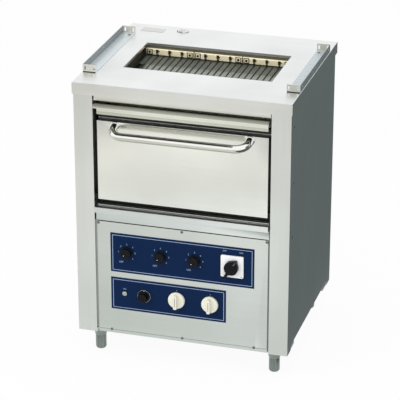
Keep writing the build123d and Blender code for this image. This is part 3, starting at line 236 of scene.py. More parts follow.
def brushed(name, base, along, roughness=0.3):
    """Stainless sheet with a satin belt finish: long fine lines one way, and faint cloudy smears."""
    made, tree, shader, place = blank(name)
    # A 240 grit belt leaves lines about 0.1 mm apart. They are drawn 1.6 mm apart here, so that they show.
    fine = grain(tree, place, [90.0 if axis == along else 1.6 for axis in "xyz"])
    band = grain(tree, place, [700.0 if axis == along else 16.0 for axis in "xyz"], 1.0)
    smear = grain(tree, place, (190.0, 190.0, 260.0), 2.0)
    tone = add(tree, "ShaderNodeMix", {FACTOR: fine, FIRST: rgba(base, 0.96), SECOND: rgba(base, 1.03)},
               data_type="RGBA")
    for pattern, least, most, shade in ((band, -0.3, 0.9, 0.93), (smear, -0.6, 1.2, 0.86)):
        share = add(tree, "ShaderNodeMapRange", {"Value": pattern, "To Min": least, "To Max": most})
        tone = add(tree, "ShaderNodeMix", {FACTOR: share, FIRST: tone, SECOND: rgba(base, shade)},
                   data_type="RGBA")
    lines = add(tree, "ShaderNodeMapRange", {"Value": fine, "To Min": roughness - 0.02,
                                             "To Max": roughness + 0.03})
    haze = add(tree, "ShaderNodeMapRange", {"Value": smear, "To Min": -0.05, "To Max": 0.06})
    feed(tree, shader, {
        "Base Color": worn_edges(tree, 1.0, tone, rgba(base, 1.08)),
        "Metallic": 1.0,
        "Roughness": add(tree, "ShaderNodeMath", {0: lines, 1: haze}, operation="ADD"),
        "Normal": add(tree, "ShaderNodeBump", {"Height": fine, "Strength": 0.05, "Distance": 0.2 * MM}),
    })
    return made


def mottled(name, first, second, sizes, roughness, metallic=0.0, bump=(0.1, 0.1), detail=3.0, edge=None,
            **fixed):
    """A finish whose colour and gloss wander between two values over patches of the given sizes.

    The bump is the strength and the depth of its relief. Sizes and depth are in millimetres.
    """
    made, tree, shader, place = blank(name)
    patch = grain(tree, place, sizes, detail)
    tone = add(tree, "ShaderNodeMix", {FACTOR: patch, FIRST: rgba(first), SECOND: rgba(second)},
               data_type="RGBA")
    if edge:
        tone = worn_edges(tree, 0.6, tone, edge)
    feed(tree, shader, {
        "Base Color": tone,
        "Metallic": metallic,
        "Roughness": add(tree, "ShaderNodeMapRange", {"Value": patch, "To Min": roughness[0],
                                                      "To Max": roughness[1]}),
        "Normal": add(tree, "ShaderNodeBump", {"Height": patch, "Strength": bump[0],
                                               "Distance": bump[1] * MM}),
    })
    feed(tree, shader, {key.replace("_", " "): value for key, value in fixed.items()})
    return made


def tinted(made, axis, tints):
    """Tint a finish along an axis: the tone is multiplied by each colour at its place in millimetres."""
    tree = made.node_tree
    shader = tree.nodes["Principled BSDF"]
    place = tree.nodes["Texture Coordinate"].outputs["Object"]
    along = add(tree, "ShaderNodeSeparateXYZ", {0: place}).outputs[axis]
    least, most = min(tints) * MM, max(tints) * MM
    ramp = add(tree, "ShaderNodeValToRGB", {
        0: add(tree, "ShaderNodeMapRange", {"Value": along, "From Min": least, "From Max": most}),
    })
    stops = ramp.color_ramp.elements
    while len(stops) < len(tints):
        stops.new(0.5)
    for stop, (level, tint) in zip(stops, sorted(tints.items())):
        stop.position = (level * MM - least) / (most - least)
        stop.color = rgba(tint)
    tone = shader.inputs["Base Color"].links[0].from_socket
    feed(tree, shader, {
        "Base Color": add(tree, "ShaderNodeMix", {FACTOR: 1.0, FIRST: tone, SECOND: ramp}, data_type="RGBA",
                          blend_type="MULTIPLY"),
    })
    return made


def spangled(name, base, cell, roughness, wall=None, ends=None):
    """Zinc on steel: crystals a few millimetres wide that catch the light a little differently."""
    made, tree, shader, place = blank(name)
    cells = add(tree, "ShaderNodeTexVoronoi", {"Vector": place, "Scale": 1 / (cell * MM), "Randomness": 1.0})
    value = add(tree, "ShaderNodeSeparateColor", {0: cells.outputs["Color"]})
    crystal = add(tree, "ShaderNodeMix", {FACTOR: value, FIRST: rgba(base, 0.97), SECOND: rgba(base, 1.03)},
                  data_type="RGBA")
    film = add(tree, "ShaderNodeMapRange", {"Value": grain(tree, place, (40.0, 40.0, 40.0)), "To Min": 0.0,
                                            "To Max": 0.35})
    tone = add(tree, "ShaderNodeMix", {FACTOR: film, FIRST: crystal, SECOND: rgba("#D8D6C4")},
               data_type="RGBA")
    if wall:
        # Painted shade: the upright walls are painted a dull slate blue, darker on the left rail.
        side = add(tree, "ShaderNodeSeparateXYZ", {0: place}).outputs["X"]
        outward = add(tree, "ShaderNodeMath", {0: side}, operation="ABSOLUTE")
        wall_shade = add(tree, "ShaderNodeMapRange", {"Value": outward, "From Min": (wall - 0.3) * MM,
                                                "From Max": wall * MM})
        right = add(tree, "ShaderNodeMath", {0: side, 1: 0.0}, operation="GREATER_THAN")
        wall_shade_tone = add(tree, "ShaderNodeMix", {FACTOR: right, FIRST: rgba("#4C555B"), SECOND: rgba("#959EA0")},
                    data_type="RGBA")
        tone = add(tree, "ShaderNodeMix", {FACTOR: wall_shade, FIRST: tone, SECOND: wall_shade_tone}, data_type="RGBA")
    if ends:
        # Painted light: the upturned end tabs are painted a pale beige, standing in for the light that their
        # faces catch.
        depth = add(tree, "ShaderNodeSeparateXYZ", {0: place}).outputs["Y"]
        near, far = [add(tree, "ShaderNodeMapRange", {"Value": depth,
                                                      "From Min": at(0, end + inward * 2.5, 0).y,
                                                      "From Max": at(0, end + inward * 1.5, 0).y})
                     for end, inward in zip(ends, (1, -1))]
        tab_light = add(tree, "ShaderNodeMath", {0: near, 1: far}, operation="MAXIMUM")
        tone = add(tree, "ShaderNodeMix", {FACTOR: tab_light, FIRST: tone, SECOND: rgba("#DAD8CC")},
                   data_type="RGBA")
    feed(tree, shader, {
        "Base Color": worn_edges(tree, 0.8, tone, "#E4E6E6"),
        "Metallic": 0.35,
        "Roughness": add(tree, "ShaderNodeMapRange", {"Value": value, "To Min": roughness - 0.03,
                                                      "To Max": roughness + 0.04}),
    })
    return made


def woven(name, first, second, pitch):
    """Glass-fibre cord: two sets of threads crossing at right angles."""
    made, tree, shader, place = blank(name)
    wave = {"Vector": place, "Scale": math.pi / (10 * pitch * MM)}
    warp, weft = [add(tree, "ShaderNodeTexWave", wave, bands_direction=axis).outputs["Fac"] for axis in "XZ"]
    cross = add(tree, "ShaderNodeMath", {0: warp, 1: weft}, operation="MULTIPLY")
    feed(tree, shader, {
        "Base Color": add(tree, "ShaderNodeMix", {FACTOR: cross, FIRST: rgba(first), SECOND: rgba(second)},
                          data_type="RGBA"),
        "Roughness": 0.92,
        "Normal": add(tree, "ShaderNodeBump", {"Height": cross, "Strength": 0.5, "Distance": 0.3 * MM}),
    })
    return made


def oxidised(name, base, hot_and_shaded_from):
    """Heater alloy: bright satin metal in front, under a dull grey-green oxide skin where it glows, which is
    also painted shade for the shadow that falls on the strips behind that line.
    """
    made, tree, shader, place = blank(name)
    # Oxide scale forms in flakes about 3 mm long and 2 mm wide.
    flake = grain(tree, place, (2.0, 3.0, 2.0))
    stain = grain(tree, place, (9.0, 60.0, 24.0), 1.0)
    depth = add(tree, "ShaderNodeSeparateXYZ", {0: place}).outputs["Y"]
    sway = add(tree, "ShaderNodeMapRange", {"Value": stain, "To Min": -4 * MM, "To Max": 4 * MM})
    edge = add(tree, "ShaderNodeMath", {0: depth, 1: sway}, operation="ADD")
    hot_and_shaded = add(tree, "ShaderNodeMapRange", {"Value": edge, "From Min": at(0, hot_and_shaded_from, 0).y,
                                           "From Max": at(0, hot_and_shaded_from + 5, 0).y})
    cool = add(tree, "ShaderNodeMix", {FACTOR: flake, FIRST: rgba(base, 0.93), SECOND: rgba(base, 1.05)},
               data_type="RGBA")
    burnt_and_shaded = add(tree, "ShaderNodeMix", {FACTOR: flake, FIRST: rgba("#585B53"), SECOND: rgba("#666961")},
                data_type="RGBA")
    feed(tree, shader, {
        "Base Color": add(tree, "ShaderNodeMix", {FACTOR: hot_and_shaded, FIRST: cool, SECOND: burnt_and_shaded}, data_type="RGBA"),
        "Metallic": add(tree, "ShaderNodeMapRange", {"Value": hot_and_shaded, "To Min": 1.0, "To Max": 0.3}),
        "Roughness": add(tree, "ShaderNodeMapRange", {"Value": hot_and_shaded, "To Min": 0.2, "To Max": 0.5}),
        "Normal": add(tree, "ShaderNodeBump", {"Height": flake, "Strength": 0.08, "Distance": 0.1 * MM}),
    })
    return made


def make_steels(tones):
    """The finishes of plain and plated metal, by the names of the real ones."""
    # Satin stainless: even, slightly warm, with lines along the sheet's rolling direction.
    brushed("Brushed stainless level", tones.cabinet, "x")
    brushed("Brushed stainless trim", "#F6F6EE", "x", roughness=0.28)
    brushed("Brushed stainless door", tones.door, "x", roughness=0.2)
    # Painted shade: the posts, sides and back, and the deck, are painted a trace darker towards the right.
    tinted(brushed("Brushed stainless upright", rgba(tones.cabinet, 1.06), "z"),
           "X", {-250.0: "#FFFFFF", 250.0: "#FCFCFC"})
    deck = tinted(brushed("Brushed stainless deck", rgba(tones.deck, 1.06), "x"),
                  "X", {-300.0: "#FFFFFF", 60.0: "#FFFFFF", 300.0: "#F6F7F6"})
    # Painted reflection: below the deck's bend the skirt is painted a trace warmer and darker than the top of
    # the same sheet.
    tinted(deck, "Z", {796.0: "#FFFDF8", 799.5: "#FFFFFF"})
    # Painted shade: the sill is painted darker towards its left end.
    tinted(brushed("Brushed stainless sill", "#F4F7F5", "x"),
           "X", {-241.0: "#EDEEEE", 0.0: "#F5F6F5", 200.0: "#FFFFFF"})
    # Painted shade: the panel is painted a little darker on its left, away from the switch side.
    tinted(brushed("Brushed stainless panel", rgba(tones.panel, 1.04), "x", roughness=0.33),
           "X", {-239.0: "#F1F3F2", -60.0: "#F4F6F5", 150.0: "#FFFFFF"})
    # Painted shade and reflection: the tray's top bend is painted dark, as it mirrors the dark underside of
    # the skirt, a pale line below it stands in for a highlight, and the face is painted darker towards its
    # foot.
    tinted(brushed("Brushed stainless tray", "#FAFAF3", "x", roughness=0.24),
           "Z", {714.4: "#E4E5DF", 722.5: "#DCDDD6", 724.0: "#F9F9F6", 737.0: "#FAFAF7", 739.0: "#FFFFFF",
                 740.5: "#C5C6BD", 748.4: "#979A90"})
    # Polished tube: a clean mirror with the slightest haze from wiping.
    mottled("Polished chrome", "#DADBDA", "#E6E6E4", (25.0, 25.0, 25.0), (0.04, 0.1), metallic=1.0,
            bump=(0.02, 0.02))
    # Painted shade: the handle's top and front stay bright, and its underside is painted darker and warmer,
    # standing in for the darker reflection there.
    tinted(mottled("Polished handle", "#F2F2EE", "#F8F8F4", (25.0, 25.0, 25.0), (0.04, 0.08), metallic=1.0,
                   bump=(0.02, 0.02)),
           "Z", {660.0: "#BEBDB5", 667.0: "#CFCEC6", 672.0: "#E2E1DA", 675.0: "#E8E7E1", 677.0: "#FFFFFF"})
    # Turned and tumbled stainless screws, a little darker than the sheet.
    mottled("Screw stainless", "#7C7D7A", "#979895", (0.8, 0.8, 0.8), (0.25, 0.4), metallic=1.0,
            bump=(0.08, 0.05))
    # Bead-blasted plate: pale and even, without a direction.
    mottled("Satin plate", "#D9DAD5", "#E2E3DE", (12.0, 2.0, 2.0), (0.3, 0.36), metallic=1.0,
            bump=(0.03, 0.02))
    # Electroplated zinc with a bluish passivation on the rails, and hot-dipped zinc on the hidden sheets.
    # Painted shade: the right rail is painted a trace darker than the left.
    tinted(spangled("Bright zinc plate", tones.zinc, 7.0, 0.3, wall=297.6, ends=(84, 428)),
           "X", {-260.0: "#FFFFFF", 260.0: "#E6E8E9"})
    spangled("Galvanised sheet", "#A7ADB0", 11.0, 0.45)
    # Zinc-plated feet and collars, drawn lengthways: dull green-grey with upright streaks, strong enough to
    # be partly painted sheen for the round feet's vertical highlights.
    for name, base, width in (("Zinc foot", tones.foot, 5.0), ("Zinc collar", tones.collar, 5.5)):
        mottled(name, rgba(base, 0.45), rgba(base, 1.6), (width, width, 90.0), (0.24, 0.34), metallic=0.7,
                bump=(0.05, 0.05), detail=2.0)
    # Brass of the thermostat's bulb: yellow, and dull where its thin plating has worn.
    mottled("Plated brass", "#9C7F3F", "#B99A54", (5.0, 5.0, 5.0), (0.25, 0.4), metallic=1.0,
            bump=(0.05, 0.03))


def make_hot_finishes(tones):
    """The finishes of the grill and the oven, by the names of the real ones, and a brown finish of painted
    shade for the gaps between the ceramic bars.
    """
    # Glazed steatite: cream, with faint brown specks from firing and grease.
    mottled("Glazed steatite", rgba(tones.ceramic, 0.95), rgba(tones.ceramic, 1.04), (2.5, 2.5, 2.5),
            (0.18, 0.32), bump=(0.1, 0.08), detail=5.0)
    oxidised("Oxidised heater strip", tones.strip, 282)
    # Sheathed heater rod: dark, dull, with blue-brown temper colours.
    mottled("Tempered heater sheath", "#2B2A2A", "#4A4644", (14.0, 14.0, 14.0), (0.42, 0.6), metallic=0.7,
            bump=(0.1, 0.05))
    # Aluminised steel: dull silver, blotched where it has been hot.
    # The same grey is painted shade in the line along the control panel's lower fold.
    mottled("Aluminised steel", "#8B8C88", "#A6A7A2", (26.0, 26.0, 26.0), (0.4, 0.55), metallic=0.9,
            bump=(0.06, 0.05))
    # The tub sits beside the strips, so its steel has gone dull and sooty.
    mottled("Sooty tub steel", "#4B4A41", "#6C6B5E", (18.0, 18.0, 9.0), (0.45, 0.6), metallic=0.3,
            bump=(0.15, 0.1))
    # The frame round the oven's mouth is blued and sooty from the heat that leaks past the door.
    # The same dark finish is painted shade on the strip behind the gap over the door.
    mottled("Heat-blued steel", "#232523", "#3B3C38", (35.0, 35.0, 35.0), (0.35, 0.5), metallic=0.8,
            bump=(0.05, 0.05))
    # Painted shade for the gaps between the ceramic bars: a brown, slightly shiny sheet.
    mottled("Brown mica", "#2B221A", "#3D3025", (6.0, 6.0, 1.0), (0.35, 0.5))
    # Glass-fibre cord: dark and matt, with its braid showing.
    woven("Glass-fibre gasket", "#2C2B29", "#5B5955", 1.6)
    # Ceramic-fibre blanket: chalky, soft and quite matt.
    mottled("Ceramic-fibre blanket", "#CFC9BA", "#E6E2D6", (3.0, 3.0, 3.0), (0.9, 0.98), bump=(0.6, 1.0),
            detail=5.0)


def make_coatings(tones):
    """The paints, inks, plastics and rubber, by the names of the real ones."""
    # Anodised aluminium printed navy: flat and satin, with a trace of the rolled grain.
    mottled("Printed navy aluminium", rgba(tones.legend, 0.92), rgba(tones.legend, 1.12), (60.0, 1.2, 1.2),
            (0.3, 0.38), bump=(0.03, 0.02), edge="#5E6E88", Specular_IOR_Level=0.04)
    # Screen ink: matt and slightly uneven. Paint fill in the knobs' marks: the same, wiped flush.
    mottled("Pale screen ink", rgba(tones.ink, 0.9), tones.ink, (1.5, 1.5, 1.5), (0.5, 0.6))
    mottled("White paint fill", "#D9DCDC", "#ECEEEE", (1.0, 1.0, 1.0), (0.45, 0.6))
    mottled("Grey paint fill", "#6E7577", "#868D8F", (1.0, 1.0, 1.0), (0.45, 0.6))
    # Compression-moulded phenolic: deep black with a soft gloss and a fine moulded skin.
    mottled("Black phenolic", tones.black, rgba(tones.black, 1.5), (3.0, 3.0, 3.0), (0.12, 0.2),
            bump=(0.05, 0.03), edge="#2B3034", Specular_IOR_Level=0.14)
    # Moulded phenolic of the switch cases and fine marks: brown-black, with a duller skin.
    mottled("Dark phenolic", "#242124", "#2F2B2C", (2.0, 2.0, 2.0), (0.4, 0.5))
    # Moulded urea: creamy, smooth and a little glossy.
    mottled("Cream urea", rgba(tones.cream, 0.96), tones.cream, (9.0, 9.0, 9.0), (0.24, 0.34),
            bump=(0.03, 0.02))
    # Moulded thermoplastic with a fine satin texture.
    mottled("White switch plastic", rgba(tones.white, 0.97), tones.white, (0.6, 0.6, 0.6), (0.34, 0.44))
    # Neon lamp lens: frosted, pale and slightly clear.
    mottled("Frosted lens", "#B9BDB6", "#D6D8D0", (1.0, 1.0, 1.0), (0.2, 0.35), Transmission_Weight=0.35)
    # Primer on the angles behind the panel: pale and dull, seen only through the gaps beside it, and painted
    # darker towards the right as painted shade in the right-hand gap.
    tinted(mottled("Grey primer", "#9A9F9A", "#ABB0AB", (4.0, 4.0, 4.0), (0.6, 0.75)),
           "X", {-200.0: "#F4F4F4", 200.0: "#B4B6B4"})
    # Primer on nuts and hooks: dark, thin and matt. The same black is painted shade in the pockets behind the
    # hooks and in the outlines round the bars' end bosses.
    mottled("Black primer", "#1A1C1B", "#262927", (4.0, 4.0, 4.0), (0.6, 0.75))
    # Moulded rubber: black and matt, with a slight orange-peel skin.
    # The same black is painted shadow in the strips under the rails' end tabs, along the panel's top edge and
    # along the sill.
    mottled("Black rubber", "#141414", "#202020", (2.0, 2.0, 2.0), (0.7, 0.85), bump=(0.2, 0.1))


# Meshes


def placed(name, mesh, material=None):
    """A new object at the origin with that mesh."""
    mesh.name = name
    piece = bpy.data.objects.new(name, mesh)
    bpy.context.scene.collection.objects.link(piece)
    if material:
        mesh.materials.clear()
        mesh.materials.append(bpy.data.materials[material])
    return piece


def applied(piece):
    """The piece with its modifiers worked into a plain mesh."""
    bpy.context.view_layer.update()
    graph = bpy.context.evaluated_depsgraph_get()
    made = bpy.data.meshes.new_from_object(piece.evaluated_get(graph))
    piece.modifiers.clear()
    made.name = piece.name
    piece.data = made
    return piece


def closed(shape, name, material):
    """A bmesh as a new object, with its doubles merged and its faces turned outwards."""
    bmesh.ops.remove_doubles(shape, verts=shape.verts, dist=1e-6)
    bmesh.ops.recalc_face_normals(shape, faces=shape.faces)
    mesh = bpy.data.meshes.new(name)
    shape.to_mesh(mesh)
    shape.free()
    return placed(name, mesh, material)


def smooth(piece, degrees=35.0):
    """Smooth shading that stops at sharp edges."""
    piece.data.shade_smooth()
    piece.data.set_sharp_from_angle(angle=math.radians(degrees))
    return piece


def dressed(piece, body, slot, *nodes):
    """The finished piece on its body, standing for its nodes."""
    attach(piece, body)
    if nodes:
        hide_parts(*nodes)
    return piece


def turned(shape, name, material, body, slot, *nodes, degrees=35.0):
    """A shape with round forms, closed, smoothed and dressed."""
    return dressed(smooth(closed(shape, name, material), degrees), body, slot, *nodes)


def lathe(shape, origin, axis, profile, steps=48, flutes=0, flute_depth=0.0, fluted=()):
    """Turn a profile of (radius, height) pairs about an axis, with the rings named in fluted scalloped."""
    turn = Vector(axis).to_track_quat("Z", "Y").to_matrix() * MM
    origin = at(*origin) if origin else Vector()
    rings = []
    for index, (radius, height) in enumerate(profile):
        if radius == 0:
            rings.append([shape.verts.new(origin + turn @ Vector((0, 0, height)))])
            continue
        ring = []
        for step in range(steps):
            angle = 2 * math.pi * step / steps
            reach = radius
            if index in fluted:
                reach -= flute_depth * (0.5 - 0.5 * math.cos(angle * flutes))
            spot = Vector((reach * math.cos(angle), reach * math.sin(angle), height))
            ring.append(shape.verts.new(origin + turn @ spot))
        rings.append(ring)
    for below, above in zip(rings, rings[1:]):
        for step in range(steps):
            after = (step + 1) % steps
            corners = [below[step % len(below)], below[after % len(below)],
                       above[after % len(above)], above[step % len(above)]]
            face = list(dict.fromkeys(corners))
            if len(face) > 2:
                shape.faces.new(face)
    return shape


def slab(shape, low, high, rounding=0.0, steps=2, loose=False):
    """A block with rounded edges between two corners, which for a loose one are from the origin."""
    made = bmesh.ops.create_cube(shape, size=1.0)["verts"]
    low, high = (Vector(low) * MM, Vector(high) * MM) if loose else (at(*low), at(*high))
    for vertex in made:
        vertex.co = (low + high) / 2 + Vector(c * (b - a) for c, a, b in zip(vertex.co, low, high))
    if rounding:
        edges = list({edge for vertex in made for edge in vertex.link_edges})
        bmesh.ops.bevel(shape, geom=edges, offset=rounding * MM, segments=steps, affect="EDGES",
                        clamp_overlap=True)
    return shape


def prism(shape, outline, front, back, rounding=0.0, draft=1.0):
    """An outline in x and z, pushed from one y to another, with rounded front edges and drafted sides."""
    middle = sum(x for x, z in outline) / len(outline)
    near = [shape.verts.new(at(middle + (x - middle) * draft, front, z)) for x, z in outline]
    far = [shape.verts.new(at(x, back, z)) for x, z in outline]
    face = shape.faces.new(near)
    shape.faces.new(list(reversed(far)))
    for index in range(len(near)):
        after = (index + 1) % len(near)
        shape.faces.new((near[index], far[index], far[after], near[after]))
    if rounding:
        bmesh.ops.bevel(shape, geom=list(face.edges), offset=rounding * MM, segments=3, affect="EDGES",
                        profile=0.6)
    return shape


def rounded_path(points, radius, steps=10):
    """Straight runs between points, joined by arcs of one radius."""
    points = [Vector(point) for point in points]
    path = [points[0]]
    for before, corner, after in zip(points, points[1:], points[2:]):
        first, second = (before - corner).normalized(), (after - corner).normalized()
        half = first.angle(second) / 2
        reach = radius / math.tan(half)
        centre = corner + (first + second).normalized() * (radius / math.sin(half))
        start, end = corner + first * reach - centre, corner + second * reach - centre
        turn = start.angle(end)
        for step in range(steps + 1):
            share = step / steps
            spot = (start * math.sin((1 - share) * turn) + end * math.sin(share * turn)) / math.sin(turn)
            path.append(centre + spot)
    return path + [points[-1]]


def tube(shape, path, radius, sides=24):
    """A round bar along a path, with closed ends."""
    radius *= MM
    aim = (path[1] - path[0]).normalized()
    side = aim.orthogonal().normalized()
    rings = []
    for index, spot in enumerate(path):
        before, after = path[max(index - 1, 0)], path[min(index + 1, len(path) - 1)]
        new_aim = (after - before).normalized()
        side = aim.rotation_difference(new_aim) @ side
        aim = new_aim
        other = aim.cross(side)
        turns = [2 * math.pi * step / sides for step in range(sides)]
        rings.append([shape.verts.new(spot + side * radius * math.cos(t) + other * radius * math.sin(t))
                      for t in turns])
    for below, above in zip(rings, rings[1:]):
        for step in range(sides):
            after = (step + 1) % sides
            shape.faces.new((below[step], below[after], above[after], above[step]))
    shape.faces.new(rings[0])
    shape.faces.new(rings[-1])
    return shape


def softened(node, name, material, slot, bend):
    """A folded sheet-metal node with its bends and cut edges slightly rounded."""
    sharp = math.radians(40)
    mesh = frame["nodes"][node].data.copy()
    shape = bmesh.new()
    shape.from_mesh(mesh)
    bmesh.ops.remove_doubles(shape, verts=shape.verts, dist=1e-5)
    bmesh.ops.dissolve_limit(shape, angle_limit=math.radians(0.6), verts=shape.verts, edges=shape.edges)
    shape.to_mesh(mesh)
    shape.free()
    piece = placed(name, mesh, material)
    rounding = piece.modifiers.new("Bend", "BEVEL")
    rounding.width = bend
    rounding.segments = 2
    rounding.limit_method = "ANGLE"
    rounding.angle_limit = sharp
    rounding.harden_normals = True
    mesh.shade_smooth()
    mesh.set_sharp_from_angle(angle=sharp)
    return dressed(applied(piece), frame["nodes"][node]["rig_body"], slot, node)


def islands(node):
    """The corners of each separate solid's box in a node, in metres."""
    shape = bmesh.new()
    shape.from_mesh(frame["nodes"][node].data)
    bmesh.ops.remove_doubles(shape, verts=shape.verts, dist=1e-5)
    left, boxes = set(shape.verts), []
    while left:
        group, edge = set(), [left.pop()]
        while edge:
            vertex = edge.pop()
            group.add(vertex)
            for link in vertex.link_edges:
                other = link.other_vert(vertex)
                if other in left:
                    left.remove(other)
                    edge.append(other)
        spots = [vertex.co for vertex in group]
        boxes.append(tuple(Vector(pick(spot[axis] for spot in spots) for axis in range(3))
                           for pick in (min, max)))
    shape.free()
    return sorted(boxes, key=lambda pair: tuple(pair[0]))


# Geometry Nodes


def grower(name, **inputs):
    """A Geometry Nodes tree that copies a piece, with named inputs, and the sockets that they feed."""
    tree = bpy.data.node_groups.new(name, "GeometryNodeTree")
    for label, kind in {"Geometry": "Geometry", "Piece": "Object", "Finish": "Material", **inputs}.items():
        tree.interface.new_socket(label.replace("_", " "), in_out="INPUT", socket_type="NodeSocket" + kind)
    tree.interface.new_socket("Geometry", in_out="OUTPUT", socket_type="NodeSocketGeometry")
    return tree, add(tree, "NodeGroupInput").outputs


def settle(tree, given, points, **turn):
    """Put the given piece on every point, as real mesh with its finish, and send it out."""
    piece = add(tree, "GeometryNodeObjectInfo", {"Object": given["Piece"], "As Instance": True})
    spread = add(tree, "GeometryNodeInstanceOnPoints", {"Points": points,
                                                        "Instance": piece.outputs["Geometry"], **turn})
    real = add(tree, "GeometryNodeRealizeInstances", {"Geometry": spread})
    coat = add(tree, "GeometryNodeSetMaterial", {"Geometry": real, "Material": given["Finish"]})
    add(tree, "NodeGroupOutput", {"Geometry": coat})
    return tree


def row_tree(name):
    """Copies of a piece in a straight row."""
    tree, given = grower(name, Count="Int", Start="Vector", Step="Vector")
    line = add(tree, "GeometryNodeMeshLine", {"Count": given["Count"], "Start Location": given["Start"],
                                              "Offset": given["Step"]}, mode="OFFSET")
    return settle(tree, given, line)


def ring_tree(name):
    """Copies of a piece round a centre, in the plane of the control panel."""
    tree, given = grower(name, Count="Int", Centre="Vector", Radius="Float", First_Angle="Float",
                         Angle_Step="Float")
    index = add(tree, "GeometryNodeInputIndex")
    turn = add(tree, "ShaderNodeMath", {0: index, 1: given["Angle Step"], 2: given["First Angle"]},
               operation="MULTIPLY_ADD")
    across, up = [add(tree, "ShaderNodeMath", {0: add(tree, "ShaderNodeMath", {0: turn}, operation=kind),
                                               1: given["Radius"]}, operation="MULTIPLY")
                  for kind in ("COSINE", "SINE")]
    offset = add(tree, "ShaderNodeCombineXYZ", {"X": across, "Z": up})
    spot = add(tree, "ShaderNodeVectorMath", {0: offset, 1: given["Centre"]}, operation="ADD")
    points = add(tree, "GeometryNodePoints", {"Count": given["Count"], "Position": spot})
    back = add(tree, "ShaderNodeMath", {0: turn, 1: -1.0}, operation="MULTIPLY")
    return settle(tree, given, points, Rotation=add(tree, "ShaderNodeCombineXYZ", {"Y": back}))


def spot_tree(name):
    """Copies of a piece on the points of a mesh, each with its Z along the point's drive direction."""
    tree, given = grower(name)
    drive = add(tree, "GeometryNodeInputNamedAttribute", {"Name": "drive"}, data_type="FLOAT_VECTOR")
    facing = add(tree, "FunctionNodeAlignRotationToVector", {"Vector": drive}, axis="Z")
    return settle(tree, given, given["Geometry"], Rotation=facing)


TREES = {"Row": row_tree, "Ring": ring_tree, "Spots": spot_tree}


def grown(name, tree, material, pattern, mesh=None, **values):
    """Run a tree with a pattern piece, keep the result as a plain mesh and drop the pattern."""
    piece = placed(name, mesh or bpy.data.meshes.new(name))
    modifier = piece.modifiers.new("Grow", "NODES")
    modifier.node_group = bpy.data.node_groups.get(tree) or TREES[tree](tree)
    values = {"Piece": pattern, "Finish": bpy.data.materials[material], **values}
    for item in modifier.node_group.interface.items_tree:
        if item.in_out == "INPUT" and item.name.replace(" ", "_") in values:
            modifier[item.identifier] = values[item.name.replace(" ", "_")]
    applied(piece)
    bpy.data.objects.remove(pattern)
    return smooth(piece)


def spots(places):
    """A mesh of bare points, each with the direction that its piece faces."""
    mesh = bpy.data.meshes.new("Spots")
    mesh.from_pydata([place for place, facing in places], [], [])
    drive = mesh.attributes.new("drive", "FLOAT_VECTOR", "POINT")
    drive.data.foreach_set("vector", [value for place, facing in places for value in facing])
    return mesh


# The broiler's pieces

# Sheets, plates and feet whose edges are rounded: finish, slot, share of the sheet bend, and the nodes.
SHEETS = (
    ("Brushed stainless upright", "stainless", 1.0, ("side_panel_left", "side_panel_right", "back_panel")),
    ("Brushed stainless deck", "stainless", 0.6, ("top_plate",)),
    ("Brushed stainless trim", "stainless", 1.0, ("top_front_rail",)),
    ("Brushed stainless sill", "stainless", 1.4, ("oven_sill",)),
    ("Brushed stainless panel", "stainless", 1.4, ("control_panel",)),
    ("Brushed stainless tray", "stainless", 1.0, ("drip_tray",)),
    ("Bright zinc plate", "galvanised", 0.8, ("side_rail_left", "side_rail_right")),
    ("Sooty tub steel", "liner_steel", 0.8, ("grill_tub",)),
    ("Brushed stainless door", "stainless_door", 0.8, ("door_outer_skin",)),
    ("Aluminised steel", "liner_steel", 0.8, ("door_inner_panel",)),
    ("Heat-blued steel", "liner_steel", 0.8, ("oven_front_frame",)),
    ("Printed navy aluminium", "blue_legend", 0.5, ("upper_legend_plate", "lower_legend_plate")),
    ("Satin plate", "screw_steel", 0.3, ("rating_plate",)),
    ("Polished chrome", "screw_steel", 0.8, ("top_cap",)),
    ("Zinc foot", "foot_steel", 1.6,
     ("foot_front_left", "foot_front_right", "foot_rear_left", "foot_rear_right")),
    ("Glazed steatite", "ceramic", 1.6, ("rear_insulators",)),
    ("White switch plastic", "white_plastic", 0.8, ("cam_switch_plate",)),
    ("Polished chrome", "chrome", 0.6, ("pilot_lamp_bezel",)),
)
# Nodes that keep their shape and only get a finish.
COATS = {
    "Galvanised sheet": ("base_pan", "leg_brackets", "partition_shelf", "tray_runners"),
    "Grey primer": ("panel_brackets",),
    "Heat-blued steel": ("hinge_brackets",),
    "Dark phenolic": ("cam_switch_body", "rotary_switch_bodies", "thermostat_body"),
    "Plated brass": ("thermostat_bulb",),
    "Aluminised steel": ("oven_liner", "rack_guides"),
    "Ceramic-fibre blanket": ("oven_insulation", "door_insulation"),
    "Tempered heater sheath": ("oven_bottom_heater", "oven_top_heater"),
    "Glass-fibre gasket": ("door_gasket",),
    "Screw stainless": ("handle_bolts", "hinge_pins"),
    "Black rubber": ("cable_gland",),
    "Glazed steatite": ("terminal_block",),
}
ZONE_KNOBS = ("zone_knob_left", "zone_knob_centre", "zone_knob_right")
OVEN_KNOBS = ("upper_heater_knob", "lower_heater_knob")
FONT_RATIO = 1.38  # the font's size over the height of its capitals


def spindle(shape, x, z, front):
    """A knob's spindle, back to its end in the switch."""
    reach = SPINDLE_END - front
    profile = [(0, 0), (2.6, 0), (3, 0.4), (3, reach), (0, reach)]
    return lathe(shape, (x, SPINDLE_END, z), TO_FRONT, profile, steps=24)


def dot(shape, x, y, z, radius, rise=0.25):
    """A small filled dot facing the front."""
    profile = [(0, 0), (radius, 0), (radius, rise * 0.6), (radius * 0.8, rise), (0, rise)]
    return lathe(shape, (x, y, z), TO_FRONT, profile, steps=20)


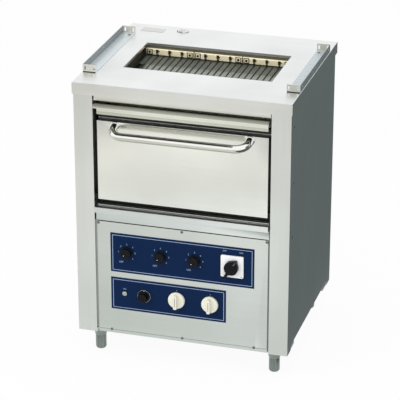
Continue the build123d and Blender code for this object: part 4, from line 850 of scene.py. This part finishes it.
def lettered(shape, text, x, z, height):
    """Numbers or a plain word, printed on a legend plate."""
    curve = bpy.data.curves.new("Lettering", "FONT")
    curve.body = text
    curve.size = height * MM * FONT_RATIO
    curve.align_x, curve.align_y = "CENTER", "CENTER"
    curve.extrude = 0.05 * MM
    curve.resolution_u = 4
    piece = bpy.data.objects.new("Lettering", curve)
    bpy.context.scene.collection.objects.link(piece)
    bpy.context.view_layer.update()
    mesh = bpy.data.meshes.new_from_object(piece.evaluated_get(bpy.context.evaluated_depsgraph_get()))
    low = min(vertex.co.y for vertex in mesh.vertices)
    high = max(vertex.co.y for vertex in mesh.vertices)
    place = Matrix.Translation(at(x, (INK_FRONT + INK_BACK) / 2, z))
    centred = Matrix.Translation((0, -(low + high) / 2, 0))
    mesh.transform(place @ Matrix.Rotation(math.pi / 2, 4, "X") @ centred)
    shape.from_mesh(mesh)
    bpy.data.objects.remove(piece)
    return shape


def border(shape, node, inset, width):
    """A printed line round a plate, set in from its edges."""
    low, high = box_of(node)
    x, z = (low.x + inset, high.x - inset), (low.z + inset, high.z - inset)
    rings = []
    for y in (INK_FRONT, INK_BACK):
        for step in (0.0, width):
            corners = [(x[0] + step, z[0] + step), (x[1] - step, z[0] + step),
                       (x[1] - step, z[1] - step), (x[0] + step, z[1] - step)]
            rings.append([shape.verts.new(at(across, y, up)) for across, up in corners])
    outer_front, inner_front, outer_back, inner_back = rings
    for first, second in ((outer_front, inner_front), (inner_front, inner_back),
                          (inner_back, outer_back), (outer_back, outer_front)):
        for index in range(4):
            after = (index + 1) % 4
            shape.faces.new((first[index], first[after], second[after], second[index]))
    return shape


class BROILER_OT_finishes(bpy.types.Operator):
    """Make every finish from the colour settings"""

    bl_idname = "broiler.finishes"
    bl_label = "Finishes"

    def execute(self, context):
        for make in (make_steels, make_hot_finishes, make_coatings):
            make(context.scene.broiler_colours)
        return {"FINISHED"}


class BROILER_OT_sheet_metal(bpy.types.Operator):
    """Round the bends and cut edges of the sheets, plates and feet"""

    bl_idname = "broiler.sheet_metal"
    bl_label = "Sheet metal"

    def execute(self, context):
        for material, slot, share, nodes in SHEETS:
            for node in nodes:
                softened(node, node + ".formed", material, slot, context.scene.broiler_sizes.bend * share)
        return {"FINISHED"}


class BROILER_OT_fittings(bpy.types.Operator):
    """Give the pieces behind the panels and in the oven their finishes"""

    bl_idname = "broiler.fittings"
    bl_label = "Fittings"

    def execute(self, context):
        for material, nodes in COATS.items():
            for node in nodes:
                for place in frame["nodes"][node].material_slots:
                    place.material = bpy.data.materials[material]
        return {"FINISHED"}


class BROILER_OT_collars(bpy.types.Operator):
    """Turn the four flared collars that the feet screw into"""

    bl_idname = "broiler.collars"
    bl_label = "Leg collars"

    def execute(self, context):
        bore = 6.08
        profile = [(bore, 0), (15.5, 0), (16, 0.5), (16.6, 5.0), (19.5, 15.0), (20, 17.5), (20, 30),
                   (bore, 30), (bore, 0)]
        shape = bmesh.new()
        for low, high in islands("leg_collars"):
            x, y = (low.x + high.x) / 2 / MM, ((low.y + high.y) / 2 - FACE) / MM
            lathe(shape, (x, y, low.z / MM), UP, profile)
        turned(shape, "leg_collars.turned", "Zinc collar", "cabinet", "collar", "leg_collars", degrees=40)
        return {"FINISHED"}


class BROILER_OT_handle(bpy.types.Operator):
    """Bend the door's polished handle and set its feet"""

    bl_idname = "broiler.handle"
    bl_label = "Door handle"

    def execute(self, context):
        half, radius, bend = 185.0, 11.0, 33.0
        foot_z, bar_z = 684.1, 673.6
        inside, seat = 5, 7  # the tube's ends lie in the door, and the feet on its skin
        bar_y = box_of("door_handle")[0].y + radius
        corners = [(-half, inside, foot_z), (-half, bar_y, bar_z),
                   (half, bar_y, bar_z), (half, inside, foot_z)]
        path = rounded_path([at(*corner) for corner in corners], bend * MM, 16)
        shape = tube(bmesh.new(), path, radius, 40)
        foot = [(0, 0), (12.6, 0), (13, 0.4), (13, 2.7), (12.4, 3.6), (11.2, 4), (9.9, 4.1), (0, 4.1)]
        for x in (-half, half):
            lathe(shape, (x, seat, foot_z), TO_FRONT, foot, steps=48)
        turned(shape, "door_handle.bent", "Polished handle", "oven_door", "chrome", "door_handle", degrees=40)
        return {"FINISHED"}


class BROILER_OT_printing(bpy.types.Operator):
    """Print the lines, numbers and words on the legend plates"""

    bl_idname = "broiler.printing"
    bl_label = "Printing"

    def execute(self, context):
        sizes = context.scene.broiler_sizes
        digit, reach = sizes.digit / MM, sizes.mark_radius / MM
        shape = bmesh.new()
        for node in ("upper_legend_plate", "lower_legend_plate"):
            border(shape, node, sizes.border_inset / MM, sizes.border_width / MM)
        for node in ZONE_KNOBS:
            x, z = centre_of(node)
            for index in range(6):
                turn = math.radians(180 - 45 * index)
                lettered(shape, str(index + 1), x + reach * math.cos(turn), z + reach * math.sin(turn), digit)
            lettered(shape, "OFF", x - 16, z - 29.5, digit)
        x, z = centre_of("cam_switch_plate")
        lettered(shape, "OFF", x - 22, z + 43, digit * 0.9)
        lettered(shape, "ON", x + 24, z + 42, digit * 0.9)
        x, z = centre_of("pilot_lamp")
        lettered(shape, "ON", x, z + 13.5, digit * 0.8)
        for node in OVEN_KNOBS:
            x, z = centre_of(node)
            dot(shape, x, INK_BACK, z + 28, 1.1, 0.12)
        bmesh.ops.recalc_face_normals(shape, faces=shape.faces)
        mesh = bpy.data.meshes.new("legend.printing")
        shape.to_mesh(mesh)
        shape.free()
        dressed(placed("legend.printing", mesh, "Pale screen ink"), "cabinet", "white_plastic")
        return {"FINISHED"}


class BROILER_OT_zone_knobs(bpy.types.Operator):
    """Turn the three black zone knobs and set their white dots"""

    bl_idname = "broiler.zone_knobs"
    bl_label = "Zone knobs"

    def execute(self, context):
        flutes = context.scene.broiler_sizes.flutes
        profile = [(0, 0), (15.4, 0), (16, 0.6), (16, 3.4), (15.5, 4.1), (15.1, 4.5), (15.1, 12.4),
                   (14.6, 13.9), (13.2, 14.9), (12, 15), (11.2, 14.6), (10.9, 14.2), (0, 14)]
        # Where the dot sits at OFF: its direction, and how far it is from the middle and from the back.
        off, reach, rise = math.radians(225), 7.6, 13.9
        for node in ZONE_KNOBS:
            x, z = centre_of(node)
            body = frame["nodes"][node]["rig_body"]
            origin = (x, KNOB_BACK, z)
            shape = lathe(bmesh.new(), origin, TO_FRONT, profile, steps=flutes * 6, flutes=flutes,
                          flute_depth=1.1, fluted=(5, 6, 7))
            spindle(shape, x, z, KNOB_BACK - 1)
            turned(shape, node + ".turned", "Black phenolic", body, "black_plastic", node)
            across, up = x + reach * math.cos(off), z + reach * math.sin(off)
            mark = dot(bmesh.new(), across, KNOB_BACK - rise, up, 1.5)
            turned(mark, node + ".dot", "White paint fill", body, "white_plastic")
        return {"FINISHED"}


class BROILER_OT_main_switch(bpy.types.Operator):
    """Mould the main switch's handle: a drop-shaped disc, a tail and raised ridges"""

    bl_idname = "broiler.main_switch"
    bl_label = "Main switch"

    def execute(self, context):
        x, z = centre_of("cam_switch_plate")
        tail = math.radians(238)

        def aimed(points):
            """Points along and across the handle, turned the way that its tail points."""
            return [(x + u * math.cos(tail) - v * math.sin(tail), z + u * math.sin(tail) + v * math.cos(tail))
                    for u, v in points]

        # A disc whose sides run straight to a blunt point on the far side of the tail.
        radius, tip = 19.4, 26.0
        touch = math.acos(radius / tip)
        arc = [math.pi - touch - (2 * math.pi - 2 * touch) * step / 60 for step in range(61)]
        drop = [(radius * math.cos(t), radius * math.sin(t)) for t in arc]
        drop += [(0.7 - tip, -0.9), (0.7 - tip, 0.9)]
        shape = prism(bmesh.new(), aimed(drop), -15.4, -3.6, 1.8)
        bar = [(2, -4.5), (36.5, -3.6), (38, -2.4), (38, 2.4), (36.5, 3.6), (2, 4.5)]
        prism(shape, aimed(bar), -17.6, -5.6, 1.2)
        grip = [(1.5 - tip, 0.9), (-20, 4.4), (-8, 5.6), (8, 5.6), (19, 4.6), (19, -4.6), (8, -5.6),
                (-8, -5.6), (-20, -4.4), (1.5 - tip, -0.9)]
        prism(shape, aimed(grip), -19.6, -14.0, 1.3)
        for side in (-1, 1):
            ridge = [(-9, side * 10.5), (9, side * 10.5), (9, side * 12), (-9, side * 12)]
            prism(shape, aimed(ridge), -16.4, -14.0, 0.5)
        spindle(shape, x, z, -5)
        turned(shape, "main_switch_handle.moulded", "Black phenolic", "main_switch", "black_plastic",
               "main_switch_handle", degrees=30)
        line = [(-23.5, -0.6), (-23.5, 0.6), (-14, 0.6), (-14, -0.6)]
        mark = prism(bmesh.new(), aimed(line), -19.75, -19.4)
        dressed(closed(mark, "main_switch_handle.mark", "Grey paint fill"), "main_switch", "white_plastic")
        low, high = box_of("cam_switch_plate")
        screw = dot(bmesh.new(), high.x - 5.5, low.y + 0.3, low.z + 5.0, 1.5, 0.5)
        turned(screw, "cam_switch_plate.screw", "Black primer", "cabinet", "black_plastic")
        return {"FINISHED"}


class BROILER_OT_thermostat(bpy.types.Operator):
    """Turn the thermostat's knob, its bright ring and its mark"""

    bl_idname = "broiler.thermostat"
    bl_label = "Thermostat knob"

    def execute(self, context):
        x, z = centre_of("thermostat_knob")
        origin = (x, KNOB_BACK, z)
        profile = [(0, 0), (16.8, 0), (17.3, 0.5), (17.3, 2.2), (16.4, 2.9), (13.8, 3.1), (13.1, 3.6),
                   (13.1, 18.4), (12.5, 20.1), (10.8, 20.9), (9.4, 21), (8.8, 20.5), (0, 20.3)]
        shape = lathe(bmesh.new(), origin, TO_FRONT, profile, steps=160, flutes=20, flute_depth=0.8,
                      fluted=(6, 7, 8))
        spindle(shape, x, z, KNOB_BACK - 1)
        turned(shape, "thermostat_knob.turned", "Black phenolic", "thermostat", "black_plastic",
               "thermostat_knob")
        ring = [(17.6, 0), (18.3, 0), (18.5, 0.3), (18.5, 2.0), (18.3, 2.5), (17.9, 2.6), (17.6, 2.4),
                (17.6, 0)]
        shape = lathe(bmesh.new(), origin, TO_FRONT, ring, steps=96)
        turned(shape, "thermostat_knob.ring", "Polished chrome", "thermostat", "chrome")
        mark = dot(bmesh.new(), x, KNOB_BACK - 2.7, z + 15.2, 1.2, 0.4)
        turned(mark, "thermostat_knob.dot", "White paint fill", "thermostat", "white_plastic")
        return {"FINISHED"}


class BROILER_OT_oven_knobs(bpy.types.Operator):
    """Mould the two cream oven knobs with their upright grips"""

    bl_idname = "broiler.oven_knobs"
    bl_label = "Oven knobs"

    def execute(self, context):
        profile = [(0, 0), (22.8, 0), (23.5, 0.7), (23.5, 4.8), (23.0, 6.3), (21.8, 7.4), (20, 8), (0, 8.2)]
        for node in OVEN_KNOBS:
            x, z = centre_of(node)
            body = frame["nodes"][node]["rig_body"]
            shape = lathe(bmesh.new(), (x, KNOB_BACK, z), TO_FRONT, profile, steps=96)
            grip = [(x - 5.5, z - 17.5), (x - 4.4, z - 20.2), (x + 4.4, z - 20.2), (x + 5.5, z - 17.5),
                    (x + 4.9, z + 18), (x + 3.6, z + 20.4), (x - 3.6, z + 20.4), (x - 4.9, z + 18)]
            prism(shape, grip, -18.6, -5.0, 1.8, draft=0.86)
            spindle(shape, x, z, KNOB_BACK - 1)
            turned(shape, node + ".moulded", "Cream urea", body, "cream_plastic", node, degrees=32)
            line = slab(bmesh.new(), (x - 0.6, -18.72, z - 12), (x + 0.6, -18.4, z + 15))
            dressed(closed(line, node + ".line", "Dark phenolic"), body, "black_plastic")
            tick = slab(bmesh.new(), (-1.3, -0.15, -0.5), (1.3, 0.15, 0.5), loose=True)
            ticks = grown(node + ".ticks", "Ring", "Dark phenolic", closed(tick, "Tick", "Dark phenolic"),
                          Count=3, Centre=at(x, KNOB_BACK - 7.4, z), Radius=21 * MM, First_Angle=0.0,
                          Angle_Step=math.radians(90))
            dressed(ticks, body, "black_plastic")
        return {"FINISHED"}


class BROILER_OT_pilot_lamp(bpy.types.Operator):
    """Shape the pilot lamp's domed lens"""

    bl_idname = "broiler.pilot_lamp"
    bl_label = "Pilot lamp"

    def execute(self, context):
        x, z = centre_of("pilot_lamp")
        back = 33.5
        profile = [(0, 0), (6.5, 0), (6.5, 28), (4.6, 28), (4.6, 32.2), (4.3, 33.3), (3.4, 34), (1.8, 34.4),
                   (0, 34.5)]
        shape = lathe(bmesh.new(), (x, back, z), TO_FRONT, profile)
        turned(shape, "pilot_lamp.lens", "Frosted lens", "cabinet", "lamp", "pilot_lamp")
        return {"FINISHED"}


class BROILER_OT_grill(bpy.types.Operator):
    """Lay the heater strips with their links and studs"""

    bl_idname = "broiler.grill"
    bl_label = "Grill heaters"

    def execute(self, context):
        low, high = box_of("heater_strips")
        count, width, depth = context.scene.broiler_sizes.strips, 14.3, 222.0
        zone = 8  # strips in each of the three zones
        front, back = low.y, low.y + depth
        first, pitch = low.x + width / 2, (high.x - low.x - width) / (count - 1)
        strip = slab(bmesh.new(), (-width / 2, front, low.z), (width / 2, back, high.z), 0.9)
        rows = grown("heater_strips.rows", "Row", "Oxidised heater strip",
                     closed(strip, "Strip", "Oxidised heater strip"), Count=count, Start=(first * MM, 0, 0),
                     Step=(pitch * MM, 0, 0))
        dressed(rows, "cabinet", "heater_alloy", "heater_strips")
        stud = [(0, 0), (3, 0), (3, 24.4), (2.5, 25), (0, 25)]
        shape = bmesh.new()
        for index in range(count):
            x, order = first + index * pitch, index % zone
            if order < zone - 1:
                y = (back - 6, back - 0.6) if order % 2 == 0 else (front + 0.6, front + 6)
                slab(shape, (x + 5, y[0], low.z + 0.6), (x + pitch - 5, y[1], high.z - 0.6), 0.5)
            if order in (0, zone - 1):
                lathe(shape, (x, back - 1, (low.z + high.z) / 2), TO_BACK, stud, steps=24)
        turned(shape, "heater_strips.links", "Oxidised heater strip", "cabinet", "heater_alloy",
               "heater_strips")
        return {"FINISHED"}


class BROILER_OT_ceramics(bpy.types.Operator):
    """Dress the ceramic bars behind the heater strips with their nuts and hooks, and with painted shade: dark
    pockets behind the hooks, dark outlines round the end bosses and dark sheets in the gaps between the bars
    """

    bl_idname = "broiler.ceramics"
    bl_label = "Ceramic bars"

    def execute(self, context):
        bars = [(low.x / MM, high.x / MM) for low, high in islands("rear_insulators")]
        level, face = 777.6, 355.4  # height of the bars' middle, and their front
        strips, ends = (-35.6, 0, 35.6), (-58, 58)  # from the middle of each bar

        def seated(name, material, slot, shape, offsets):
            """Set one pattern piece at each offset from the middle of every ceramic bar."""
            places = [(((left + right) / 2 * MM + offset * MM, 0, 0), UP)
                      for left, right in bars for offset in offsets]
            piece = grown(name, "Spots", material, closed(shape, "Pattern", material), spots(places))
            dressed(piece, "cabinet", slot)

        nut = [(0, 0), (3.2, 0), (3.2, 2.0), (2.8, 2.5), (1.7, 2.6), (1.7, 3.6), (1.4, 4.0), (0, 4.0)]
        seated("strip_nuts", "Black primer", "heater_alloy",
               lathe(bmesh.new(), (0, face, level), TO_FRONT, nut, steps=6), strips)
        nut = [(0, 0), (4.0, 0), (4.0, 2.0), (3.5, 2.6), (1.8, 2.8), (1.8, 3.6), (1.5, 4.0), (0, 4.0)]
        seated("end_nuts", "Black primer", "heater_alloy",
               lathe(bmesh.new(), (0, face, level - 0.6), TO_FRONT, nut, steps=6), ends)
        # A hook holds each strip, and its tail leaves to the right; its dark plate is painted shade for the
        # pocket in the bar that it sits in.
        hook_and_pocket_shade = slab(bmesh.new(), (-4.4, face - 1.2, level - 2.6), (3.0, face - 0.1, level + 6.8), 0.3)
        slab(hook_and_pocket_shade, (-1.2, face - 1.5, level + 0.6), (6.2, face - 0.4, level + 3.4), 0.3)
        slab(hook_and_pocket_shade, (-3.0, face - 1.5, level - 6.4), (-0.4, face - 0.4, level - 1.6), 0.3)
        seated("strip_hooks", "Black primer", "heater_alloy", hook_and_pocket_shade, strips)
        # Painted shadow: a dark plate behind each end boss outlines it.
        box = slab(bmesh.new(), (-8.2, face - 0.9, level - 8.4), (8.2, face - 0.1, level + 7.1), 0.3)
        seated("end_frames", "Black primer", "heater_alloy", box, ends)
        boss = slab(bmesh.new(), (-5.8, face - 1.5, level - 6.2), (5.8, face - 0.3, level + 5.0), 0.5)
        seated("end_bosses", "Glazed steatite", "ceramic", boss, ends)
        # Painted shade: dark sheets fill the gaps between the bars.
        bar_gap_shade = bmesh.new()
        for before, after in zip(bars, bars[1:]):
            slab(bar_gap_shade, (before[1] + 0.2, face - 2.2, 768.6), (after[0] - 0.2, face + 8.6, 786.0), 0.1)
        dressed(closed(bar_gap_shade, "zone_mica", "Brown mica"), "cabinet", "ceramic")
        return {"FINISHED"}


class BROILER_OT_trims(bpy.types.Operator):
    """Fit the lips round the door's mouth and the sill's end plates, and the strips of painted shade over the
    door, under the rails' tabs, along the panel's fold and top edge, and along the sill
    """

    bl_idname = "broiler.trims"
    bl_label = "Trims"

    def execute(self, context):
        door_top = box_of("door_outer_skin")[1].z
        sill_end = box_of("oven_sill")[1]
        half, sill = sill_end.x - 6.2, sill_end.z
        # A dark strip behind the gap over the door, as painted shade in that gap, and thin lips along the
        # tops of the door and the sill.
        strip = slab(bmesh.new(), (-half, 31.9, door_top - 9.0), (half, 32.9, door_top + 15.5), 0.2)
        dressed(closed(strip, "head_strip", "Heat-blued steel"), "cabinet", "liner_steel")
        lips = slab(bmesh.new(), (-half, 30.6, door_top - 0.4), (half, 32.2, door_top + 1.6), 0.5)
        slab(lips, (-half, 9.6, sill - 0.2), (half, 11.2, sill + 2.2), 0.5)
        for side in (-1, 1):
            ends = sorted((side * (half + 1.6), side * (half + 3.0)))
            slab(lips, (ends[0], -9.8, sill - 15.8), (ends[1], 4.2, sill - 0.2), 0.2)
        dressed(closed(lips, "door_lips", "Brushed stainless level"), "cabinet", "stainless")
        # Dark strips under the end tabs of the rails: painted shadow where the tabs meet the deck.
        tab_shade = bmesh.new()
        for low, high in (box_of("side_rail_left"), box_of("side_rail_right")):
            for y in (low.y, high.y):
                slab(tab_shade, (low.x + 0.6, y - 0.5, low.z + 0.1), (high.x - 0.6, y + 0.5, low.z + 2.0), 0.2)
        dressed(closed(tab_shade, "rail_pads", "Black rubber"), "cabinet", "black_plastic")
        # A thin grey strip along the panel's lower fold is painted shade, and dark strips along the panel's
        # top edge and the sill are painted shadow in the gaps there.
        low, high = box_of("control_panel")
        fold = low.z + 9.8
        fold_shade = slab(bmesh.new(), (low.x + 2.0, 3.7, fold - 0.6), (high.x - 2.0, 4.2, fold + 0.6), 0.1)
        dressed(closed(fold_shade, "panel_crease", "Aluminised steel"), "cabinet", "stainless")
        seam_shade = slab(bmesh.new(), (low.x + 0.4, 3.7, high.z - 1.4), (high.x - 0.4, 4.3, high.z + 1.4), 0.2)
        slab(seam_shade, (-half, 7.7, sill - 0.2), (half, 9.3, sill + 0.3), 0.1)
        dressed(closed(seam_shade, "panel_seals", "Black rubber"), "cabinet", "black_plastic")
        return {"FINISHED"}


class BROILER_OT_rack(bpy.types.Operator):
    """Lay the oven rack's wires"""

    bl_idname = "broiler.rack"
    bl_label = "Oven rack"

    def execute(self, context):
        low, high = box_of("oven_rack")
        count, inset = context.scene.broiler_sizes.rack_wires, 0.6
        radius = (high.z - low.z) / 2
        level = low.z + radius
        step = (high.x - low.x - 2 * radius) / (count - 1)
        wire = tube(bmesh.new(), [at(0, low.y + inset, level), at(0, high.y - inset, level)], radius, 20)
        wires = grown("oven_rack.wires", "Row", "Polished chrome", closed(wire, "Wire", "Polished chrome"),
                      Count=count, Start=((low.x + radius) * MM, 0, 0), Step=(step * MM, 0, 0))
        dressed(wires, "cabinet", "chrome", "oven_rack")
        ends, drop = bmesh.new(), 0.4  # the two end wires lie this much lower than the rest
        for y in (low.y + radius, high.y - radius):
            tube(ends, [at(low.x + inset, y, level - drop), at(high.x - inset, y, level - drop)], radius, 20)
        turned(ends, "oven_rack.ends", "Polished chrome", "cabinet", "chrome", "oven_rack")
        return {"FINISHED"}


class BROILER_OT_screws(bpy.types.Operator):
    """Drive a cross-recess screw into every screw place"""

    bl_idname = "broiler.screws"
    bl_label = "Screws"

    def screw(self):
        """One screw along z, with its seat at the origin and a cross cut into its head."""
        profile = [(0, -6), (1.5, -6), (1.8, -5.6), (1.8, 0), (4, 0), (4, 0.6), (3.7, 1.1), (3.0, 1.45),
                   (0, 1.6)]
        made = closed(lathe(bmesh.new(), None, UP, profile, steps=32), "Screw", "Screw stainless")
        cross = bmesh.new()
        for x, y in ((2.2, 0.45), (0.45, 2.2)):
            slab(cross, (-x, -y, 0.75), (x, y, 2.2), loose=True)
        cutter = placed("Cross", bpy.data.meshes.new("Cross"))
        cross.to_mesh(cutter.data)
        cross.free()
        cut = made.modifiers.new("Recess", "BOOLEAN")
        cut.operation, cut.object, cut.solver, cut.use_self = "DIFFERENCE", cutter, "EXACT", True
        applied(made)
        bpy.data.objects.remove(cutter)
        return made

    def execute(self, context):
        head = 1.6 * MM
        for node in ("panel_screws", "body_screws"):
            places = []
            for low, high in islands(node):
                size = high - low
                axis = min(range(3), key=lambda index: size[index])
                outward = 1 if axis == 2 or (axis == 0 and low.x > 0) else -1
                facing = Vector([outward if index == axis else 0 for index in range(3)])
                places.append(((low + high) / 2 + facing * (size[axis] / 2 - head), facing))
            piece = grown(node + ".driven", "Spots", "Screw stainless", self.screw(), spots(places))
            dressed(piece, "cabinet", "screw_steel", node)
        return {"FINISHED"}


# The studio, in metres

CAMERA_PLACE = (1.446, -5.001, 2.629)
CAMERA_TILT, CAMERA_TURN = 90 - 23.17, 16.30  # degrees from straight down, and round to the left
AIM = Vector((0, 0, 0.5))  # a point about the middle of the broiler, which the lamps face
FLOOR_HALF = 30.0
FADE = (-0.5, 0.05)  # where the boards' left tone turns into their right tone


def flat(x, y, z):
    """Corners of a level sheet between two values of x and of y."""
    return [(x[0], y[0], z), (x[1], y[0], z), (x[1], y[1], z), (x[0], y[1], z)]


def upright(x, y, z):
    """Corners of a sheet that stands at x, between two values of y and of z."""
    return [(x, y[0], z[0]), (x, y[1], z[0]), (x, y[1], z[1]), (x, y[0], z[1])]


# Boards that only the gloss of the metal sees: their corners, and their tones at the left and at the right.
BOARDS = {
    "Right board": (flat((0.31, 5.5), (-2.2, 6.5), 0.005), "#5E6667", "#5E6667"),
    "Right screen": (upright(3.4, (-1.2, 6.5), (0.0, 2.6)), "#697072", "#697072"),
    "Left screen": (upright(-3.0, (0.1, 4.0), (0.0, 2.6)), "#5A5C59", "#5A5C59"),
    "Near board": (flat((-2.6, 0.9), (-0.66, -0.3), 0.004), "#DDE2DE", "#DDE2DF"),
    "Panel board": (flat((-2.6, 0.9), (-1.28, -0.66), 0.004), "#EAEDEA", "#F2F7F5"),
    "Door foot board": (flat((-2.9, 0.7), (-1.45, -1.28), 0.004), "#CCCCC6", "#D0D1CC"),
    "Door board": (flat((-2.9, 0.7), (-1.94, -1.45), 0.004), "#F9F9F3", "#F5F6F1"),
    "Left board": (flat((-3.6, -0.8), (-4.2, -1.98), 0.004), "#9FA09A", "#9FA09A"),
    "Far board": (flat((-0.8, -0.3), (-4.2, -1.94), 0.004), "#FFFFFF", "#FFFFFF"),
    "Corner board": (flat((-0.3, 0.6), (-4.2, -1.94), 0.004), "#B2B4AF", "#B2B4AF"),
    "Ceiling board": (flat((-2.8, -0.42), (-1.95, 1.6), 3.1), "#3E413A", "#3E413A"),
}


def seen_rays(tree):
    """1 for what the camera sees, straight on or by gloss or through glass."""
    rays = add(tree, "ShaderNodeLightPath").outputs
    direct = add(tree, "ShaderNodeMath", {0: rays["Is Camera Ray"], 1: rays["Is Glossy Ray"]},
                 operation="MAXIMUM")
    return add(tree, "ShaderNodeMath", {0: direct, 1: rays["Is Transmission Ray"]}, operation="MAXIMUM")


def paper_floor():
    """White paper: it shines by itself where it is seen, and keeps a soft shadow."""
    made, tree = bare("Paper floor")
    add(tree, "ShaderNodeOutputMaterial", {"Surface": add(tree, "ShaderNodeMixShader", {
        0: add(tree, "ShaderNodeMath", {0: seen_rays(tree), 1: 0.94}, operation="MULTIPLY"),
        1: add(tree, "ShaderNodeBsdfDiffuse", {"Color": rgba("#E7E7E7")}),
        2: add(tree, "ShaderNodeEmission", {"Strength": 1.0}),
    })})
    return made


def lit_board(name, left, right):
    """A board that shines in its own colour, which runs from one tone to another across the set."""
    made, tree = bare(name)
    place = add(tree, "ShaderNodeTexCoord").outputs["Object"]
    across = add(tree, "ShaderNodeSeparateXYZ", {0: place}).outputs["X"]
    share = add(tree, "ShaderNodeMapRange", {"Value": across, "From Min": FADE[0], "From Max": FADE[1]})
    tone = add(tree, "ShaderNodeMix", {FACTOR: share, FIRST: rgba(left), SECOND: rgba(right)},
               data_type="RGBA")
    glow = add(tree, "ShaderNodeEmission", {"Color": tone, "Strength": 1.0})
    add(tree, "ShaderNodeOutputMaterial", {"Surface": glow})
    return made


def staged(name, corners, material):
    """A four-sided sheet of the studio."""
    mesh = bpy.data.meshes.new(name)
    mesh.from_pydata(corners, [], [(0, 1, 2, 3)])
    mesh.materials.append(material)
    made = placed(name, mesh)
    return made


def softbox(scene, name, place, size, power):
    """A square lamp aimed at the middle of the broiler."""
    data = bpy.data.lights.new(name, "AREA")
    data.shape, data.size, data.energy = "SQUARE", size, power
    made = bpy.data.objects.new(name, data)
    scene.collection.objects.link(made)
    made.location = place
    made.rotation_euler = (AIM - Vector(place)).to_track_quat("-Z", "Y").to_euler()
    made.visible_glossy = False  # the metal mirrors the boards instead
    return made


def surround(scene, ambient):
    """White all round for the eye, and an even light of its own strength on the broiler."""
    scene.world = scene.world or bpy.data.worlds.new("Studio")
    scene.world.use_nodes = True
    tree = scene.world.node_tree
    tree.nodes.clear()
    light, white = [add(tree, "ShaderNodeBackground", {"Color": rgba("#FFFFFF"), "Strength": strength})
                    for strength in (ambient, 1.0)]
    both = add(tree, "ShaderNodeMixShader", {0: seen_rays(tree), 1: light, 2: white})
    add(tree, "ShaderNodeOutputWorld", {"Surface": both})


class BROILER_OT_stage(bpy.types.Operator):
    """Set up the floor, the boards, the lamps, the world and the camera"""

    bl_idname = "broiler.stage"
    bl_label = "Studio"

    def execute(self, context):
        scene, settings = context.scene, context.scene.broiler_stage
        reach = (-FLOOR_HALF, FLOOR_HALF)
        staged("Floor", flat(reach, reach, 0), paper_floor())
        for name, (corners, left, right) in BOARDS.items():
            card = staged(name, corners, lit_board(name, left, right))
            card.visible_camera = card.visible_diffuse = False
            card.visible_shadow = card.visible_transmission = False
        softbox(scene, "Key", (-2.6, -3.2, 3.4), 2.6, settings.key_power)
        softbox(scene, "Top", (0.2, -0.6, 3.8), 3.0, settings.top_power)
        surround(scene, settings.ambient)
        camera = bpy.data.objects.new("Camera", bpy.data.cameras.new("Camera"))
        scene.collection.objects.link(camera)
        camera.location = CAMERA_PLACE
        camera.rotation_euler = (math.radians(CAMERA_TILT), 0, math.radians(CAMERA_TURN))
        camera.data.lens = settings.lens
        camera.data.sensor_width = 36
        scene.camera = camera
        scene.view_settings.view_transform = "Standard"
        return {"FINISHED"}


# Panel and main

STEPS = (
    BROILER_OT_finishes,
    BROILER_OT_sheet_metal,
    BROILER_OT_fittings,
    BROILER_OT_collars,
    BROILER_OT_handle,
    BROILER_OT_printing,
    BROILER_OT_zone_knobs,
    BROILER_OT_main_switch,
    BROILER_OT_thermostat,
    BROILER_OT_oven_knobs,
    BROILER_OT_pilot_lamp,
    BROILER_OT_grill,
    BROILER_OT_ceramics,
    BROILER_OT_trims,
    BROILER_OT_rack,
    BROILER_OT_screws,
    BROILER_OT_stage,
)
SETTINGS = {"broiler_colours": BroilerColours, "broiler_sizes": BroilerSizes, "broiler_stage": BroilerStage}


class BROILER_PT_panel(bpy.types.Panel):
    """The broiler's settings and steps"""

    bl_label = "Electric broiler"
    bl_space_type = "VIEW_3D"
    bl_region_type = "UI"
    bl_category = "Broiler"

    def draw(self, context):
        for name, group in SETTINGS.items():
            box = self.layout.box()
            for setting in group.__annotations__:
                box.prop(getattr(context.scene, name), setting)
        for step in STEPS:
            self.layout.operator(step.bl_idname)


CLASSES = (*SETTINGS.values(), *STEPS, BROILER_PT_panel)


def register():
    """Add the settings, the steps and the panel."""
    for item in CLASSES:
        bpy.utils.register_class(item)
    for name, group in SETTINGS.items():
        setattr(bpy.types.Scene, name, PointerProperty(type=group))


def unregister():
    """Take them away again."""
    for name in SETTINGS:
        delattr(bpy.types.Scene, name)
    for item in reversed(CLASSES):
        bpy.utils.unregister_class(item)


def main():
    """Dress the frame."""
    register()
    for step in STEPS:
        name = step.bl_idname.split(".")[1]
        if getattr(bpy.ops.broiler, name)() != {"FINISHED"}:
            raise RuntimeError(f"the step {name} did not finish")
    bpy.context.view_layer.update()


if __name__ == "__main__":
    main()
